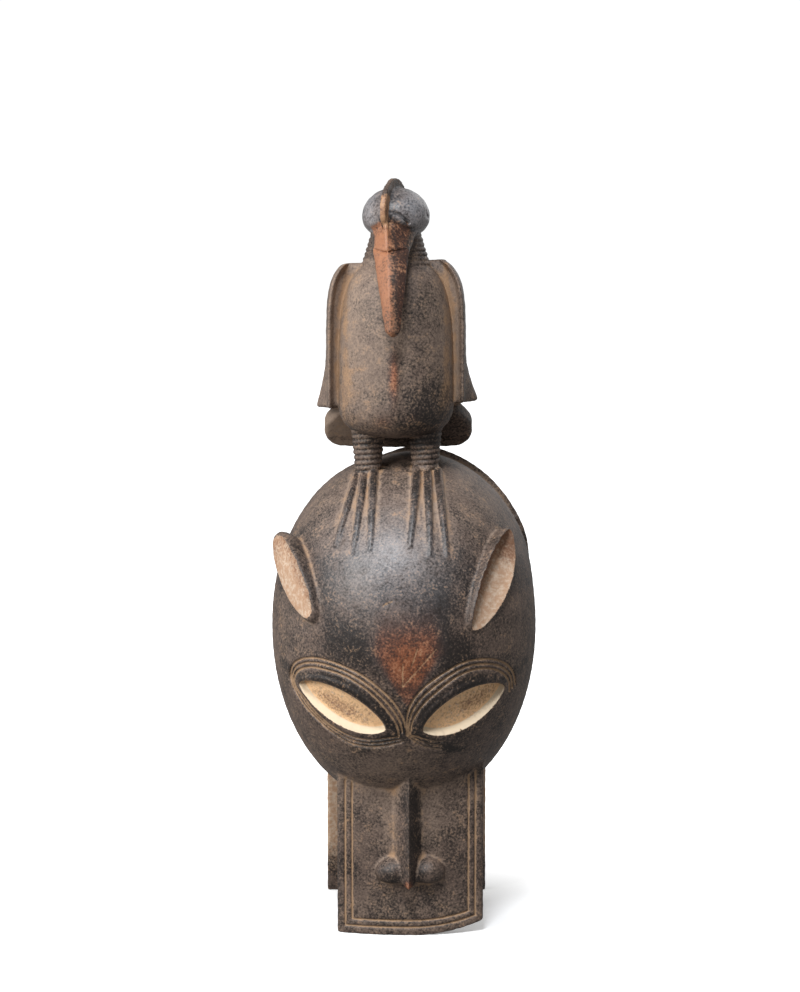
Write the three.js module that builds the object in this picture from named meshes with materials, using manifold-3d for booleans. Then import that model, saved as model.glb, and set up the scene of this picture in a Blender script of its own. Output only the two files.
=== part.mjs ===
// A Senufo kagba mask: a hollow animal head with a hornbill on its crown, standing on its two jaws.
// It is one carving, cut from one block of wood. Millimetres, +Z up, the face looks along -Y,
// and the origin is on the ground below the middle of the carving. Left and right are the viewer's.
import * as THREE from "three";
import { mergeVertices } from "three/addons/utils/BufferGeometryUtils.js";
import Module from "manifold-3d";

// Head: a deep egg, fuller at the brow than a true ellipsoid
const HEAD_Y = 30;
const HEAD_Z = 262.5;
const HEAD_HALF_WIDTH = 117;
const HEAD_FRONT = 140;
const HEAD_REAR = 150;
const HEAD_UP = 149.5;
const HEAD_DOWN = 161;
const HEAD_PLAN_POWER = 2.3;
const HEAD_CROWN_POWER = 2.13;
const HEAD_CHIN_POWER = 2.04;
const WALL = 12;
const ROOT_IN_WALL = 2;
const HEAD_SIDES = 36;
const OUTER_RINGS = 12;
const INNER_RINGS = 7;

// Rim: the head is open behind, cut by a plane that leans back, with a raised lip around the opening
const RIM_TOP = { y: 63, z: 412 };
const RIM_LOW = { y: 110, z: 125 };
const LIP_START = 0.94;
const LIP_LOW = 1.5;
const LIP_HIGH = 9;
const LASHING_HOLES = [
  { x: 98.4, z: 355.8 },
  { x: 102.2, z: 349.3 },
];
const LASHING_HOLE = { radius: 1.5, length: 60 };
const LIP_KNOB = { x: 101, y: 65, z: 352.5, radius: 3 };

// Jaws: the bowed front plate carries the nose, the wider back plate stands behind the open mouth
const FRONT_PLATE = { left: -58, right: 69, face: -50, thickness: 13, bow: 10 };
const FRONT_CORNER = { from: 8, lift: 11 };
const BACK_PLATE = { left: -71, right: 76, face: 98, thickness: 12, bow: -5 };
const BORDER_LINES = [7, 13];
const BORDER_HALF_WIDTH = 1.3;
const BORDER_TOP = 150;

// Nose: a sharp wedge with two lobes at its foot
const NOSE = { ridge: 4, left: -11, right: 17, foot: 46, top: 142, footY: -73, topY: -65 };
const NOSTRILS = [-8.5, 19.5];
const NOSTRIL = { z: 56, y: -50, halfWidth: 16, front: 12, back: 6, up: 14, down: 9.5 };

// Eyes: slanted almonds sunk in the face, under incised brow lines that meet in a V above the nose
const EYES = [
  { x: -53, z: 207, slant: -28.6, halfLength: 41, halfHeight: 13.5 },
  { x: 48, z: 208.5, slant: 26.5, halfLength: 40.5, halfHeight: 14 },
];
const EYE_DEPTH = 8;
const BROW_LINES = [
  [[-95, 230], [-80, 249], [-54, 247], [-26, 231], [-6, 204], [1, 184]],
  [[-92, 224], [-73, 195], [-48, 174], [-24, 170], [-7, 176], [1, 185]],
  [[-1, 184], [6, 204], [22, 231], [45, 247], [70, 249], [93, 232]],
  [[1, 186], [12, 178], [28, 174], [46, 175]],
];
const BROW_LINE_RADIUS = 2.1;

// Ears: leaf-shaped cups that stand off the temples, from foot to tip
const EARS = [
  { foot: [-80, -82, 279], tip: [-109, -30, 350], face: [-0.5, -0.75, 0.4], halfWidth: 18, halfDepth: 20 },
  { foot: [58, -98, 275], tip: [91, -42, 355], face: [0.42, -0.8, 0.36], halfWidth: 19, halfDepth: 20 },
];
const EAR_WALL = 4.5;
const EAR_OPENING = 10;

// Bird: it stands a little left of the head's middle
const BIRD_X = -7;
const BODY = { y: -12, z: 464, halfWidth: 50, front: 44, back: 36, up: 119, down: 33 };
const BODY_PLAN_POWER = 2;
const BODY_TOP_POWER = 3.6;
const BODY_FOOT_POWER = 2.7;
const WINGS = { y: 4, top: 583, bottom: 459, halfWidth: 61, front: 31, back: 33, tipRise: 2.5 };
const WING_RIM = { inset: 2.5, thickness: 4.5, troughY: -18 };
const WING_BACK_POWER = 2.6;
const SHOULDER_DROP = 16.5;
const SHOULDER_RUN = 13;
const FLARE = { start: 80, run: 40, reach: 9.5 };
const FEATHERS = 12;
const FEATHER_DEPTH = 2.4;
const TAIL = { rootHalf: 52, endHalf: 65, length: 50, thickness: 17, y: 9.2, z: 458.1, tilt: 43, skew: 2 };

// Legs and feet: ringed legs, and three toes each that run down the brow
const LEGS = [-31, 18.5];
const LEG = { y: -13, foot: 388, low: 399, high: 440, lowRadius: 11.2, highRadius: 15, rings: 8, groove: 1.2 };
const TOES = [
  [-41.5, 396, -57, 346.5],
  [-34.5, 398, -42.5, 341],
  [-27.5, 399, -28.5, 344],
  [12, 400, 5, 347.5],
  [20, 400, 22, 340],
  [29, 398, 35.5, 338],
];
const TOE = { halfWidth: 2.5, height: 3.4 };

// Neck, head and beak of the bird, its face turned a little to the left
const NECK = { y: -6, foot: 575, low: 579, high: 607, lowRadius: 31.5, highRadius: 22, rings: 7, groove: 1 };
const SKULL = { y: -13, z: 621, halfWidth: 29, front: 34, back: 33, up: 25, down: 19 };
const FACE_TURN = 15;
const BEAK = { root: [-11, -46, 592], tip: [-9.5, -76, 519], rootHalf: 12.5, tipHalf: 4 };
const CREST = { halfThickness: 2.6, height: 8 };

const wasm = await Module();
wasm.setup();

const UP = new THREE.Vector3(0, 0, 1);
const ACROSS = new THREE.Vector3(1, 0, 0);
const vector = (list) => new THREE.Vector3(...list);
const radians = THREE.MathUtils.degToRad;
const signedPower = (value, power) => Math.sign(value) * Math.abs(value) ** power;

// Moves each vertex of a closed geometry by a function, and gives back a solid that can be joined or cut.
function solid(geometry, move = () => {}) {
  geometry.deleteAttribute("normal");
  geometry.deleteAttribute("uv");
  const merged = mergeVertices(geometry, 1e-4);
  const place = merged.attributes.position;
  const point = new THREE.Vector3();
  for (let i = 0; i < place.count; i++) {
    point.fromBufferAttribute(place, i);
    move(point);
    place.setXYZ(i, point.x, point.y, point.z);
  }
  const triVerts = new Uint32Array(merged.index.array);
  return new wasm.Manifold(new wasm.Mesh({ numProp: 3, vertProperties: place.array, triVerts }));
}

const join = (solids) => solids.reduce((whole, piece) => whole.add(piece));
const cut = (whole, cutters) => cutters.reduce((rest, cutter) => rest.subtract(cutter), whole);

// An egg with its own reach each way, squarer or sharper as its powers rise or fall.
function egg({ x = 0, y, z, halfWidth, front, back, up, down }, powers, sides, rows) {
  const sphere = new THREE.SphereGeometry(1, sides, rows).rotateX(Math.PI / 2);
  return solid(sphere, (p) => {
    const power = 2 / (p.z > 0 ? powers.top : powers.foot);
    const round = Math.hypot(p.x, p.y) || 1;
    const reach = round ** power;
    const sideways = signedPower(p.x / round, 2 / powers.plan) * reach;
    const forward = signedPower(p.y / round, 2 / powers.plan) * reach;
    const height = signedPower(p.z, power);
    p.set(
      x + sideways * halfWidth,
      y + forward * (forward < 0 ? front : back),
      z + height * (height > 0 ? up : down),
    );
  });
}

// A bar along a curve, with a half width and a half depth that change from its start (0) to its end (1).
function bar(path, across, halfWidth, halfDepth, sides, steps) {
  const rod = new THREE.CylinderGeometry(1, 1, 1, sides, steps);
  return solid(rod, (p) => {
    const along = THREE.MathUtils.clamp(p.y + 0.5, 0, 1);
    const tangent = path.getTangent(along);
    const depthWay = new THREE.Vector3().crossVectors(across, tangent).normalize();
    const widthWay = new THREE.Vector3().crossVectors(tangent, depthWay);
    const centre = path.getPoint(along);
    centre.addScaledVector(widthWay, p.x * halfWidth(along));
    centre.addScaledVector(depthWay, p.z * halfDepth(along));
    p.copy(centre);
  });
}

// A round column with rings above its plain foot, as a closed profile spun about its axis.
function ringedColumn({ foot, low, high, lowRadius, highRadius, rings, groove }, sides) {
  const profile = [new THREE.Vector2(0, foot), new THREE.Vector2(lowRadius, foot)];
  profile.push(new THREE.Vector2(lowRadius, low));
  const pitch = (high - low) / rings;
  for (let i = 0; i < rings; i++) {
    const middle = low + (i + 0.5) * pitch;
    const radius = THREE.MathUtils.mapLinear(middle, low, high, lowRadius, highRadius);
    profile.push(new THREE.Vector2(radius, middle));
    profile.push(new THREE.Vector2(radius - groove, middle + pitch / 2));
  }
  profile.push(new THREE.Vector2(0, high));
  return solid(new THREE.LatheGeometry(profile, sides).rotateX(Math.PI / 2));
}

// The head's front surface above a place in the face, seen straight on.
function headFaceY(x, z) {
  const rise = z - HEAD_Z;
  const power = rise > 0 ? HEAD_CROWN_POWER : HEAD_CHIN_POWER;
  const round = (1 - Math.abs(rise / (rise > 0 ? HEAD_UP : HEAD_DOWN)) ** power) ** (1 / power);
  const side = Math.abs(x / HEAD_HALF_WIDTH) ** HEAD_PLAN_POWER;
  const left = Math.max(round ** HEAD_PLAN_POWER - side, 0);
  return HEAD_Y - HEAD_FRONT * left ** (1 / HEAD_PLAN_POWER);
}

// The lip is high and whole at the upper right, and worn low elsewhere.
function lipHeight(around) {
  const rise = THREE.MathUtils.smoothstep(around, radians(10), radians(38));
  const fade = 1 - THREE.MathUtils.smoothstep(around, radians(84), radians(100));
  return LIP_LOW + (LIP_HIGH - LIP_LOW) * rise * fade;
}

// A point of the head: how far it lies from the face's middle to the rim, the way round, and its height
// over the head's surface. The reach back to the rim's plane is found by halving.
function headPoint(share, around, height) {
  const place = (turn) => {
    const way = new THREE.Vector3(
      Math.sin(turn) * Math.cos(around),
      -Math.cos(turn),
      Math.sin(turn) * Math.sin(around),
    );
    const deep = (way.y < 0 ? HEAD_FRONT : HEAD_REAR) + height;
    const tall = (way.z > 0 ? HEAD_UP : HEAD_DOWN) + height;
    const power = way.z > 0 ? HEAD_CROWN_POWER : HEAD_CHIN_POWER;
    const across = Math.abs(way.x / (HEAD_HALF_WIDTH + height)) ** HEAD_PLAN_POWER;
    const plan = (across + Math.abs(way.y / deep) ** HEAD_PLAN_POWER) ** (power / HEAD_PLAN_POWER);
    const reach = (plan + Math.abs(way.z / tall) ** power) ** (-1 / power);
    return way.multiplyScalar(reach).add(new THREE.Vector3(0, HEAD_Y, HEAD_Z));
  };
  const lean = (RIM_LOW.y - RIM_TOP.y) / (RIM_TOP.z - RIM_LOW.z);
  let [near, far] = [radians(60), radians(160)];
  for (let i = 0; i < 30; i++) {
    const middle = (near + far) / 2;
    const point = place(middle);
    const behind = point.y > RIM_TOP.y + (RIM_TOP.z - point.z) * lean;
    [near, far] = behind ? [near, middle] : [middle, far];
  }
  return place(share * near);
}

// The shell is drawn flat, as a round plate with a lip at its edge, and then bent over the head's egg.
function shell() {
  const profile = [];
  for (let i = 0; i <= OUTER_RINGS; i++) profile.push(new THREE.Vector2((LIP_START * i) / OUTER_RINGS, 0));
  profile.push(new THREE.Vector2(LIP_START + 0.01, 1));
  profile.push(new THREE.Vector2(1, 1));
  for (let i = INNER_RINGS; i >= 0; i--) profile.push(new THREE.Vector2(i / INNER_RINGS, -1));
  return solid(new THREE.LatheGeometry(profile, HEAD_SIDES), (p) => {
    const around = Math.atan2(p.z, p.x);
    const height = p.y < 0 ? -WALL : p.y * lipHeight(around);
    p.copy(headPoint(Math.hypot(p.x, p.z), around, height));
  });
}

// The room in the head, grown a little into the wall. What is added outside the head ends at it.
function headRoom() {
  const profile = [];
  for (let i = 0; i <= INNER_RINGS; i++) profile.push(new THREE.Vector2(i / INNER_RINGS, 0));
  profile.push(new THREE.Vector2(0, 1));
  return solid(new THREE.LatheGeometry(profile, HEAD_SIDES), (p) => {
    if (p.y > 0) p.set(0, RIM_TOP.y, HEAD_Z);
    else p.copy(headPoint(Math.hypot(p.x, p.z), Math.atan2(p.z, p.x), ROOT_IN_WALL - WALL));
  });
}

// A hole for a lashing, bored from front to back through the lip.
function lashingHole({ x, z }) {
  const { radius, length } = LASHING_HOLE;
  return solid(new THREE.CylinderGeometry(radius, radius, length, 6)).translate([x, RIM_TOP.y, z]);
}

// The head's underside at a place of the plan.
function headUnderZ(x, y) {
  const depth = y < HEAD_Y ? HEAD_FRONT : HEAD_REAR;
  const side = Math.abs(x / HEAD_HALF_WIDTH) ** HEAD_PLAN_POWER;
  const plan = (side + Math.abs((y - HEAD_Y) / depth) ** HEAD_PLAN_POWER) ** (1 / HEAD_PLAN_POWER);
  return HEAD_Z - HEAD_DOWN * (1 - plan ** HEAD_CHIN_POWER) ** (1 / HEAD_CHIN_POWER);
}

// A plate of the jaws, bowed across its width. Its top lies inside the head's wall, and its lower edge
// is lifted by a function.
function jawPlate(plate, lift) {
  const width = plate.right - plate.left;
  return solid(new THREE.BoxGeometry(width, plate.thickness, 1, 12, 1, 1), (p) => {
    const share = p.x / (width / 2);
    const x = p.x + (plate.left + plate.right) / 2;
    const y = p.y + plate.face + plate.thickness / 2 + plate.bow * share * share;
    p.set(x, y, p.z < 0 ? lift(x) : headUnderZ(x, y) + WALL / 2);
  });
}

const cornerLift = (x) => {
  const share = Math.max(x - FRONT_CORNER.from, 0) / (FRONT_PLATE.right - FRONT_CORNER.from);
  return FRONT_CORNER.lift * share * share;
};

// The front plate's surface, on which the border lines and the nose lie.
function plateFaceY(x) {
  const middle = (FRONT_PLATE.left + FRONT_PLATE.right) / 2;
  const share = (x - middle) / (FRONT_PLATE.right - middle);
  return FRONT_PLATE.face + FRONT_PLATE.bow * share * share;
}

// A line cut down the left side, along the bowed foot and up the right side of the front plate.
function borderLine(inset) {
  const [left, right] = [FRONT_PLATE.left + inset, FRONT_PLATE.right - inset];
  const place = (x, z) => new THREE.Vector3(x, plateFaceY(x), z + cornerLift(x));
  const foot = Array.from({ length: 7 }, (_, i) => place(THREE.MathUtils.lerp(left, right, i / 6), inset));
  const runs = [
    [place(left, inset), place(left, BORDER_TOP)],
    foot,
    [place(right, inset), place(right, BORDER_TOP)],
  ];
  const radius = () => BORDER_HALF_WIDTH;
  return runs.map((points) => {
    const path = new THREE.CatmullRomCurve3(points);
    return bar(path, new THREE.Vector3(0, 1, 0), radius, radius, 4, points.length - 1);
  });
}

// The nose's wedge, deeper at its foot, with its ridge out in front of the plate.
function noseWedge() {
  const section = new THREE.Shape([
    new THREE.Vector2(-NOSE.right, 0),
    new THREE.Vector2(-NOSE.left, 0),
    new THREE.Vector2(-NOSE.ridge, 1),
  ]);
  const height = NOSE.top - NOSE.foot;
  const wedge = new THREE.ExtrudeGeometry(section, { depth: height, steps: 1, bevelEnabled: false });
  return solid(wedge, (p) => {
    const ridgeY = THREE.MathUtils.mapLinear(p.z, 0, height, NOSE.footY, NOSE.topY);
    p.y = THREE.MathUtils.lerp(FRONT_PLATE.face + FRONT_PLATE.thickness / 2, ridgeY, p.y);
    p.z += NOSE.foot;
    p.x = -p.x;
  });
}

function nostril(x) {
  return egg({ x, ...NOSTRIL }, { plan: 2, top: 1.8, foot: 2.4 }, 12, 8);
}

// A place in an eye's own almond: along its slant and across it, on the head's surface.
function eyePlace(eye, along, over) {
  const angle = radians(eye.slant);
  const x = eye.x + along * Math.cos(angle) - over * Math.sin(angle);
  const z = eye.z + along * Math.sin(angle) + over * Math.cos(angle);
  return new THREE.Vector3(x, headFaceY(x, z), z);
}

function eyeHollow(eye) {
  return solid(new THREE.SphereGeometry(1, 22, 6).rotateX(Math.PI / 2), (p) => {
    const taper = Math.sqrt(Math.max(1 - p.x * p.x, 0));
    const place = eyePlace(eye, p.x * eye.halfLength, p.y * taper * eye.halfHeight);
    place.y -= p.z * EYE_DEPTH;
    p.copy(place);
  });
}

// An incised line from left to right over the face, three-sided, with its edge pointing into the wood.
function browLine(places) {
  const path = new THREE.CatmullRomCurve3(places.map(([x, z]) => new THREE.Vector3(x, headFaceY(x, z), z)));
  const radius = () => BROW_LINE_RADIUS;
  return bar(path, UP, radius, radius, 3, 10);
}

// An ear's leaf in its own axes: along from foot to tip, across, and out of its mouth.
function earLeaf(ear, shrink, outward) {
  const foot = vector(ear.foot);
  const tip = vector(ear.tip);
  const along = tip.clone().sub(foot).normalize();
  const acrossWay = new THREE.Vector3().crossVectors(vector(ear.face), along).normalize();
  const out = new THREE.Vector3().crossVectors(along, acrossWay);
  const centre = foot.clone().lerp(tip, 0.5).addScaledVector(out, outward);
  const halfLength = foot.distanceTo(tip) / 2 - shrink;
  return solid(new THREE.SphereGeometry(1, 16, 10).rotateX(Math.PI / 2), (p) => {
    const taper = Math.max(1 - p.z * p.z, 0) ** 0.12;
    const place = centre.clone().addScaledVector(along, p.z * halfLength);
    place.addScaledVector(acrossWay, p.x * taper * (ear.halfWidth - shrink));
    place.addScaledVector(out, p.y * taper * (ear.halfDepth - shrink));
    p.copy(place);
  });
}

// Half the folded wings' width at a height: rounded shoulders above, then straight sides.
function wingHalfWidth(z) {
  return WINGS.halfWidth - SHOULDER_DROP * Math.exp((z - WINGS.top) / SHOULDER_RUN);
}

// The wings' plan: a thin rim in front on each side, a shallow trough between, and feathers round the back.
function wingPlan() {
  const { halfWidth, front, back } = WINGS;
  const rimX = halfWidth - WING_RIM.inset;
  const innerX = rimX - WING_RIM.thickness;
  const plan = new THREE.Shape();
  plan.moveTo(-innerX + 1, WING_RIM.troughY);
  plan.lineTo(-innerX, -front);
  plan.lineTo(-rimX, -front);
  for (let i = 0; i <= 2 * FEATHERS; i++) {
    const around = (i / (2 * FEATHERS)) * Math.PI;
    const trim = i % 2 === 0 ? 0 : FEATHER_DEPTH;
    const across = -signedPower(Math.cos(around), 2 / WING_BACK_POWER) * (halfWidth - trim);
    plan.lineTo(across, signedPower(Math.sin(around), 2 / WING_BACK_POWER) * (back - trim));
  }
  plan.lineTo(rimX, -front);
  plan.lineTo(innerX, -front);
  plan.lineTo(innerX - 1, WING_RIM.troughY);
  return plan;
}

// The folded wings lie round the body, and their feathers spread outward at the tips.
function wings() {
  const settings = { depth: WINGS.top - WINGS.bottom, steps: 8, bevelEnabled: false };
  return solid(new THREE.ExtrudeGeometry(wingPlan(), settings), (p) => {
    const z = p.z + WINGS.bottom;
    const narrow = wingHalfWidth(z) / WINGS.halfWidth;
    const spread = (Math.max(WINGS.top - z - FLARE.start, 0) / FLARE.run) ** 1.5;
    const outward = FLARE.reach * spread * THREE.MathUtils.smoothstep(p.y, -20, 5);
    const side = p.x / WINGS.halfWidth;
    p.set(
      BIRD_X + side * (wingHalfWidth(z) + outward),
      WINGS.y + p.y * narrow,
      z + side * WINGS.tipRise,
    );
  });
}

// The tail is a broad fan that slopes down and back, with a thick end.
function tail() {
  const fan = new THREE.Shape();
  fan.moveTo(-TAIL.rootHalf, 0);
  fan.quadraticCurveTo(-TAIL.endHalf, 0.2 * TAIL.length, -TAIL.endHalf, 0.6 * TAIL.length);
  fan.quadraticCurveTo(-TAIL.endHalf, 0.85 * TAIL.length, -0.86 * TAIL.endHalf, 0.88 * TAIL.length);
  fan.quadraticCurveTo(0, 1.12 * TAIL.length, 0.86 * TAIL.endHalf, 0.88 * TAIL.length);
  fan.quadraticCurveTo(TAIL.endHalf, 0.85 * TAIL.length, TAIL.endHalf, 0.6 * TAIL.length);
  fan.quadraticCurveTo(TAIL.endHalf, 0.2 * TAIL.length, TAIL.rootHalf, 0);
  const slab = new THREE.ExtrudeGeometry(fan, {
    depth: TAIL.thickness - 4,
    curveSegments: 5,
    bevelThickness: 2,
    bevelSize: 2,
    bevelOffset: -2,
    bevelSegments: 2,
  });
  return solid(slab, (p) => {
    p.z -= TAIL.thickness / 2 - 2;
    p.applyAxisAngle(ACROSS, radians(-90 + TAIL.tilt));
    p.add(new THREE.Vector3(BIRD_X + TAIL.skew, TAIL.y, TAIL.z));
  });
}

function leg(x) {
  return ringedColumn(LEG, 10).translate([x, LEG.y, 0]);
}

// A toe is a low ridge on the brow, tapering to its end.
function toe([startX, startZ, endX, endZ]) {
  const points = Array.from({ length: 5 }, (_, i) => {
    const x = THREE.MathUtils.lerp(startX, endX, i / 4);
    const z = THREE.MathUtils.lerp(startZ, endZ, i / 4);
    return new THREE.Vector3(x, headFaceY(x, z), z);
  });
  const slim = (along) => 1 - 0.55 * along ** 3;
  const path = new THREE.CatmullRomCurve3(points);
  return bar(path, ACROSS, (a) => TOE.halfWidth * slim(a), (a) => TOE.height * slim(a), 6, 4);
}

function neck() {
  return ringedColumn(NECK, 14).translate([BIRD_X, NECK.y, 0]);
}

// The face narrows from the skull to the beak's root, and the beak hangs free before the breast.
function beak() {
  const root = vector(BEAK.root);
  const tip = vector(BEAK.tip);
  const path = new THREE.QuadraticBezierCurve3(root, new THREE.Vector3(root.x, tip.y, 572), tip);
  const size = (along) => THREE.MathUtils.lerp(BEAK.rootHalf, BEAK.tipHalf, along ** 0.9);
  return bar(path, ACROSS, size, (along) => 0.85 * size(along), 10, 8);
}

function birdFace() {
  const inside = new THREE.Vector3(BIRD_X - 1, SKULL.y, SKULL.z - 2);
  const path = new THREE.LineCurve3(inside, vector(BEAK.root).add(new THREE.Vector3(0, -1, -4)));
  const size = (along) => THREE.MathUtils.lerp(25, BEAK.rootHalf + 1.5, along ** 1.4);
  return bar(path, ACROSS, size, (along) => 0.8 * size(along), 12, 4);
}

// The crest is a thin fin from the beak's root over the skull to the nape.
function crest() {
  const arc = (angle) => {
    const way = new THREE.Vector3(0, -Math.cos(angle), Math.sin(angle));
    way.applyAxisAngle(UP, radians(-FACE_TURN));
    const reach = way.z > 0 ? SKULL.up : SKULL.down;
    return new THREE.Vector3(
      BIRD_X + way.x * SKULL.front,
      SKULL.y + way.y * SKULL.front,
      SKULL.z + way.z * reach,
    );
  };
  const angles = [-30, 0, 30, 60, 90, 120, 150].map(radians);
  const path = new THREE.CatmullRomCurve3(angles.map(arc));
  const rise = (along) => 2 + CREST.height * Math.sin(Math.PI * Math.min(0.12 + 0.8 * along, 1));
  return bar(path, ACROSS, () => CREST.halfThickness, rise, 6, 10);
}

// The head: its shell, ears, jaws and nose, with the ears scooped and the lip bored
function head() {
  const knob = solid(new THREE.IcosahedronGeometry(LIP_KNOB.radius, 1));
  const room = headRoom();
  const outside = join([
    shell(),
    knob.translate([LIP_KNOB.x, LIP_KNOB.y, LIP_KNOB.z]),
    ...EARS.map((ear) => cut(earLeaf(ear, 0, 0), [room])),
    jawPlate(FRONT_PLATE, cornerLift),
    jawPlate(BACK_PLATE, () => 0),
    noseWedge(),
    ...NOSTRILS.map(nostril),
  ]);
  const scoops = EARS.map((ear) => earLeaf(ear, EAR_WALL, EAR_OPENING));
  return cut(outside, [...scoops, ...LASHING_HOLES.map(lashingHole)]);
}

function hornbill() {
  const bodyPowers = { plan: BODY_PLAN_POWER, top: BODY_TOP_POWER, foot: BODY_FOOT_POWER };
  return join([
    wings(),
    egg({ x: BIRD_X, ...BODY }, bodyPowers, 22, 14),
    tail(),
    ...LEGS.map(leg),
    ...TOES.map(toe),
    neck(),
    egg({ x: BIRD_X, ...SKULL }, { plan: 2, top: 2, foot: 2.2 }, 16, 11),
    birdFace(),
    beak(),
    crest(),
  ]);
}

function carving() {
  const cutters = [...EYES.map(eyeHollow), ...BROW_LINES.map(browLine), ...BORDER_LINES.flatMap(borderLine)];
  return cut(join([head(), hornbill()]), cutters);
}

function geometryOf(made) {
  const { vertProperties, triVerts } = made.getMesh();
  const geometry = new THREE.BufferGeometry();
  geometry.setAttribute("position", new THREE.BufferAttribute(vertProperties, 3));
  geometry.setIndex(new THREE.BufferAttribute(triVerts, 1));
  geometry.computeVertexNormals();
  return geometry;
}

const patinatedWood = new THREE.MeshStandardMaterial({ color: 0x3a2b22, roughness: 0.55, metalness: 0 });
const mask = new THREE.Mesh(geometryOf(carving()), patinatedWood);
mask.name = "kagba_mask_carving";

const group = new THREE.Group();
group.add(mask);
export default group;
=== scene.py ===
# A Senufo kagba mask: a hollow animal head that stands on its two flat jaws, with a hornbill on its
# crown. It is one carving from one block of wood, dark with handling, dusty in its cuts, and whitened
# with kaolin in the eyes and ears. The face looks along -Y, +X is the viewer's right, and +Z is up.
import math

import bpy
import numpy as np
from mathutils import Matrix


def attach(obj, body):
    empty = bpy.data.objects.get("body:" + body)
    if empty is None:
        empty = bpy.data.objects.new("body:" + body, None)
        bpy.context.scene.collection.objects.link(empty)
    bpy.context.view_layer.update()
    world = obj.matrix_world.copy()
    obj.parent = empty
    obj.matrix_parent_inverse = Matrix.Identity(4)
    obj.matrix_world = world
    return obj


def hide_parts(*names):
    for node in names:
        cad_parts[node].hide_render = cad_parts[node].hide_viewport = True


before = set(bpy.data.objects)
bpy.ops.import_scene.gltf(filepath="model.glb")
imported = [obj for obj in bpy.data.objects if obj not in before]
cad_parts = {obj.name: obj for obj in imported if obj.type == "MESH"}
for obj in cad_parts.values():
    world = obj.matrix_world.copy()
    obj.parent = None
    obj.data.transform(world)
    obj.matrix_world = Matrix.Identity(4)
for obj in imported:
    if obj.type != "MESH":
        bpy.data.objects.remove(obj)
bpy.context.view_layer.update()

import openvdb
from mathutils import Vector

# The camera: it stands two metres before the face, a little above the bird's breast, and looks
# slightly down, as the photograph's does.
CAMERA_PLACE = (-0.0035, -1.95, 0.577)
CAMERA_PITCH = 5.8
CAMERA_LENS = 81.36

camera = bpy.data.objects.new("camera", bpy.data.cameras.new("camera"))
camera.data.lens = CAMERA_LENS
camera.data.sensor_width = 36
camera.location = CAMERA_PLACE
camera.rotation_euler = (math.radians(90 - CAMERA_PITCH), 0, 0)
bpy.context.collection.objects.link(camera)
bpy.context.scene.camera = camera

# The block: all of the wood is one solid, kept as the distance to its surface at each point of a
# lattice, in millimetres. The forms below are left standing in it or taken out of it, one by one.
STEP = 0.8
BLOCK_LOW = (-123.3, -115.3, -5.3)
BLOCK_HIGH = (123.3, 116.7, 661.7)
NARROW_BAND = 3 * STEP

counts = [int((high - low) / STEP) + 1 for low, high in zip(BLOCK_LOW, BLOCK_HIGH)]
wood = np.full(counts, 40.0, np.float32)


def region(low, high):
    """The cells of the block between two corners, and their places along x, y and z."""
    cells, places = [], []
    for axis in range(3):
        first = max(int((low[axis] - BLOCK_LOW[axis]) / STEP), 0)
        last = min(int((high[axis] - BLOCK_LOW[axis]) / STEP) + 2, counts[axis])
        shape = [1, 1, 1]
        shape[axis] = -1
        cells.append(slice(first, last))
        places.append((BLOCK_LOW[axis] + STEP * np.arange(first, last, dtype=np.float32)).reshape(shape))
    return tuple(cells), places


def union(one, other, fillet=0.0):
    """Two forms grown together, with a fillet in the corner between them."""
    if fillet <= 0:
        return np.minimum(one, other)
    near = np.maximum(fillet - np.abs(one - other), 0)
    return np.minimum(one, other) - near * near * (0.25 / fillet)


def overlap(one, other, edge=0.0):
    """What two forms share, with the edge between their faces rounded."""
    return -union(-one, -other, edge)


def leave(form, low, high, fillet=0.0):
    """Leaves a form standing in the block."""
    cells, places = region(low, high)
    wood[cells] = union(wood[cells], form(*places), fillet)


def take(form, low, high, edge=0.0):
    """Cuts a form out of the block."""
    cells, places = region(low, high)
    wood[cells] = overlap(wood[cells], -form(*places), edge)


def ramp(value, start, end):
    """A smooth climb from 0 at the start to 1 at the end."""
    share = np.clip((value - start) / (end - start), 0, 1)
    return share * share * (3 - 2 * share)


def mix(start, end, share):
    return start + (end - start) * share


# The head: a deep egg with a wall 12 mm thick, fuller at the brow than at the chin. It is open behind,
# where a plane that leans back cuts it off, and the wearer's head goes in there.
HEAD_Y = 30
HEAD_Z = 262.5
HEAD_HALF_WIDTH = 117
HEAD_FRONT = 140
HEAD_REAR = 150
HEAD_UP = 149.5
HEAD_DOWN = 161
PLAN_POWER = 2.3
CROWN_POWER = 2.13
CHIN_POWER = 2.04
WALL = 12
RIM_TOP = (63, 412)
RIM_LOW = (110, 125)
RIM_LEAN = (RIM_LOW[0] - RIM_TOP[0]) / (RIM_TOP[1] - RIM_LOW[1])
LIP_WIDTH = 8
LIP_LOW = 1.2
LIP_HIGH = 5.5
BULGE = 4
GOUGE_MARKS = 38
GOUGE_DEPTH = 0.6
RAISED_FROM = (math.radians(10), math.radians(38))
RAISED_TO = (math.radians(84), math.radians(100))
LIP_STEP = 1.5
BULGE_ALONG = (-25, 50)
OUTER_EDGE = 2.5
INNER_EDGE = 2
HEAD_BOX = ((-122, -113, 98), (122, 115, 424))


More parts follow.
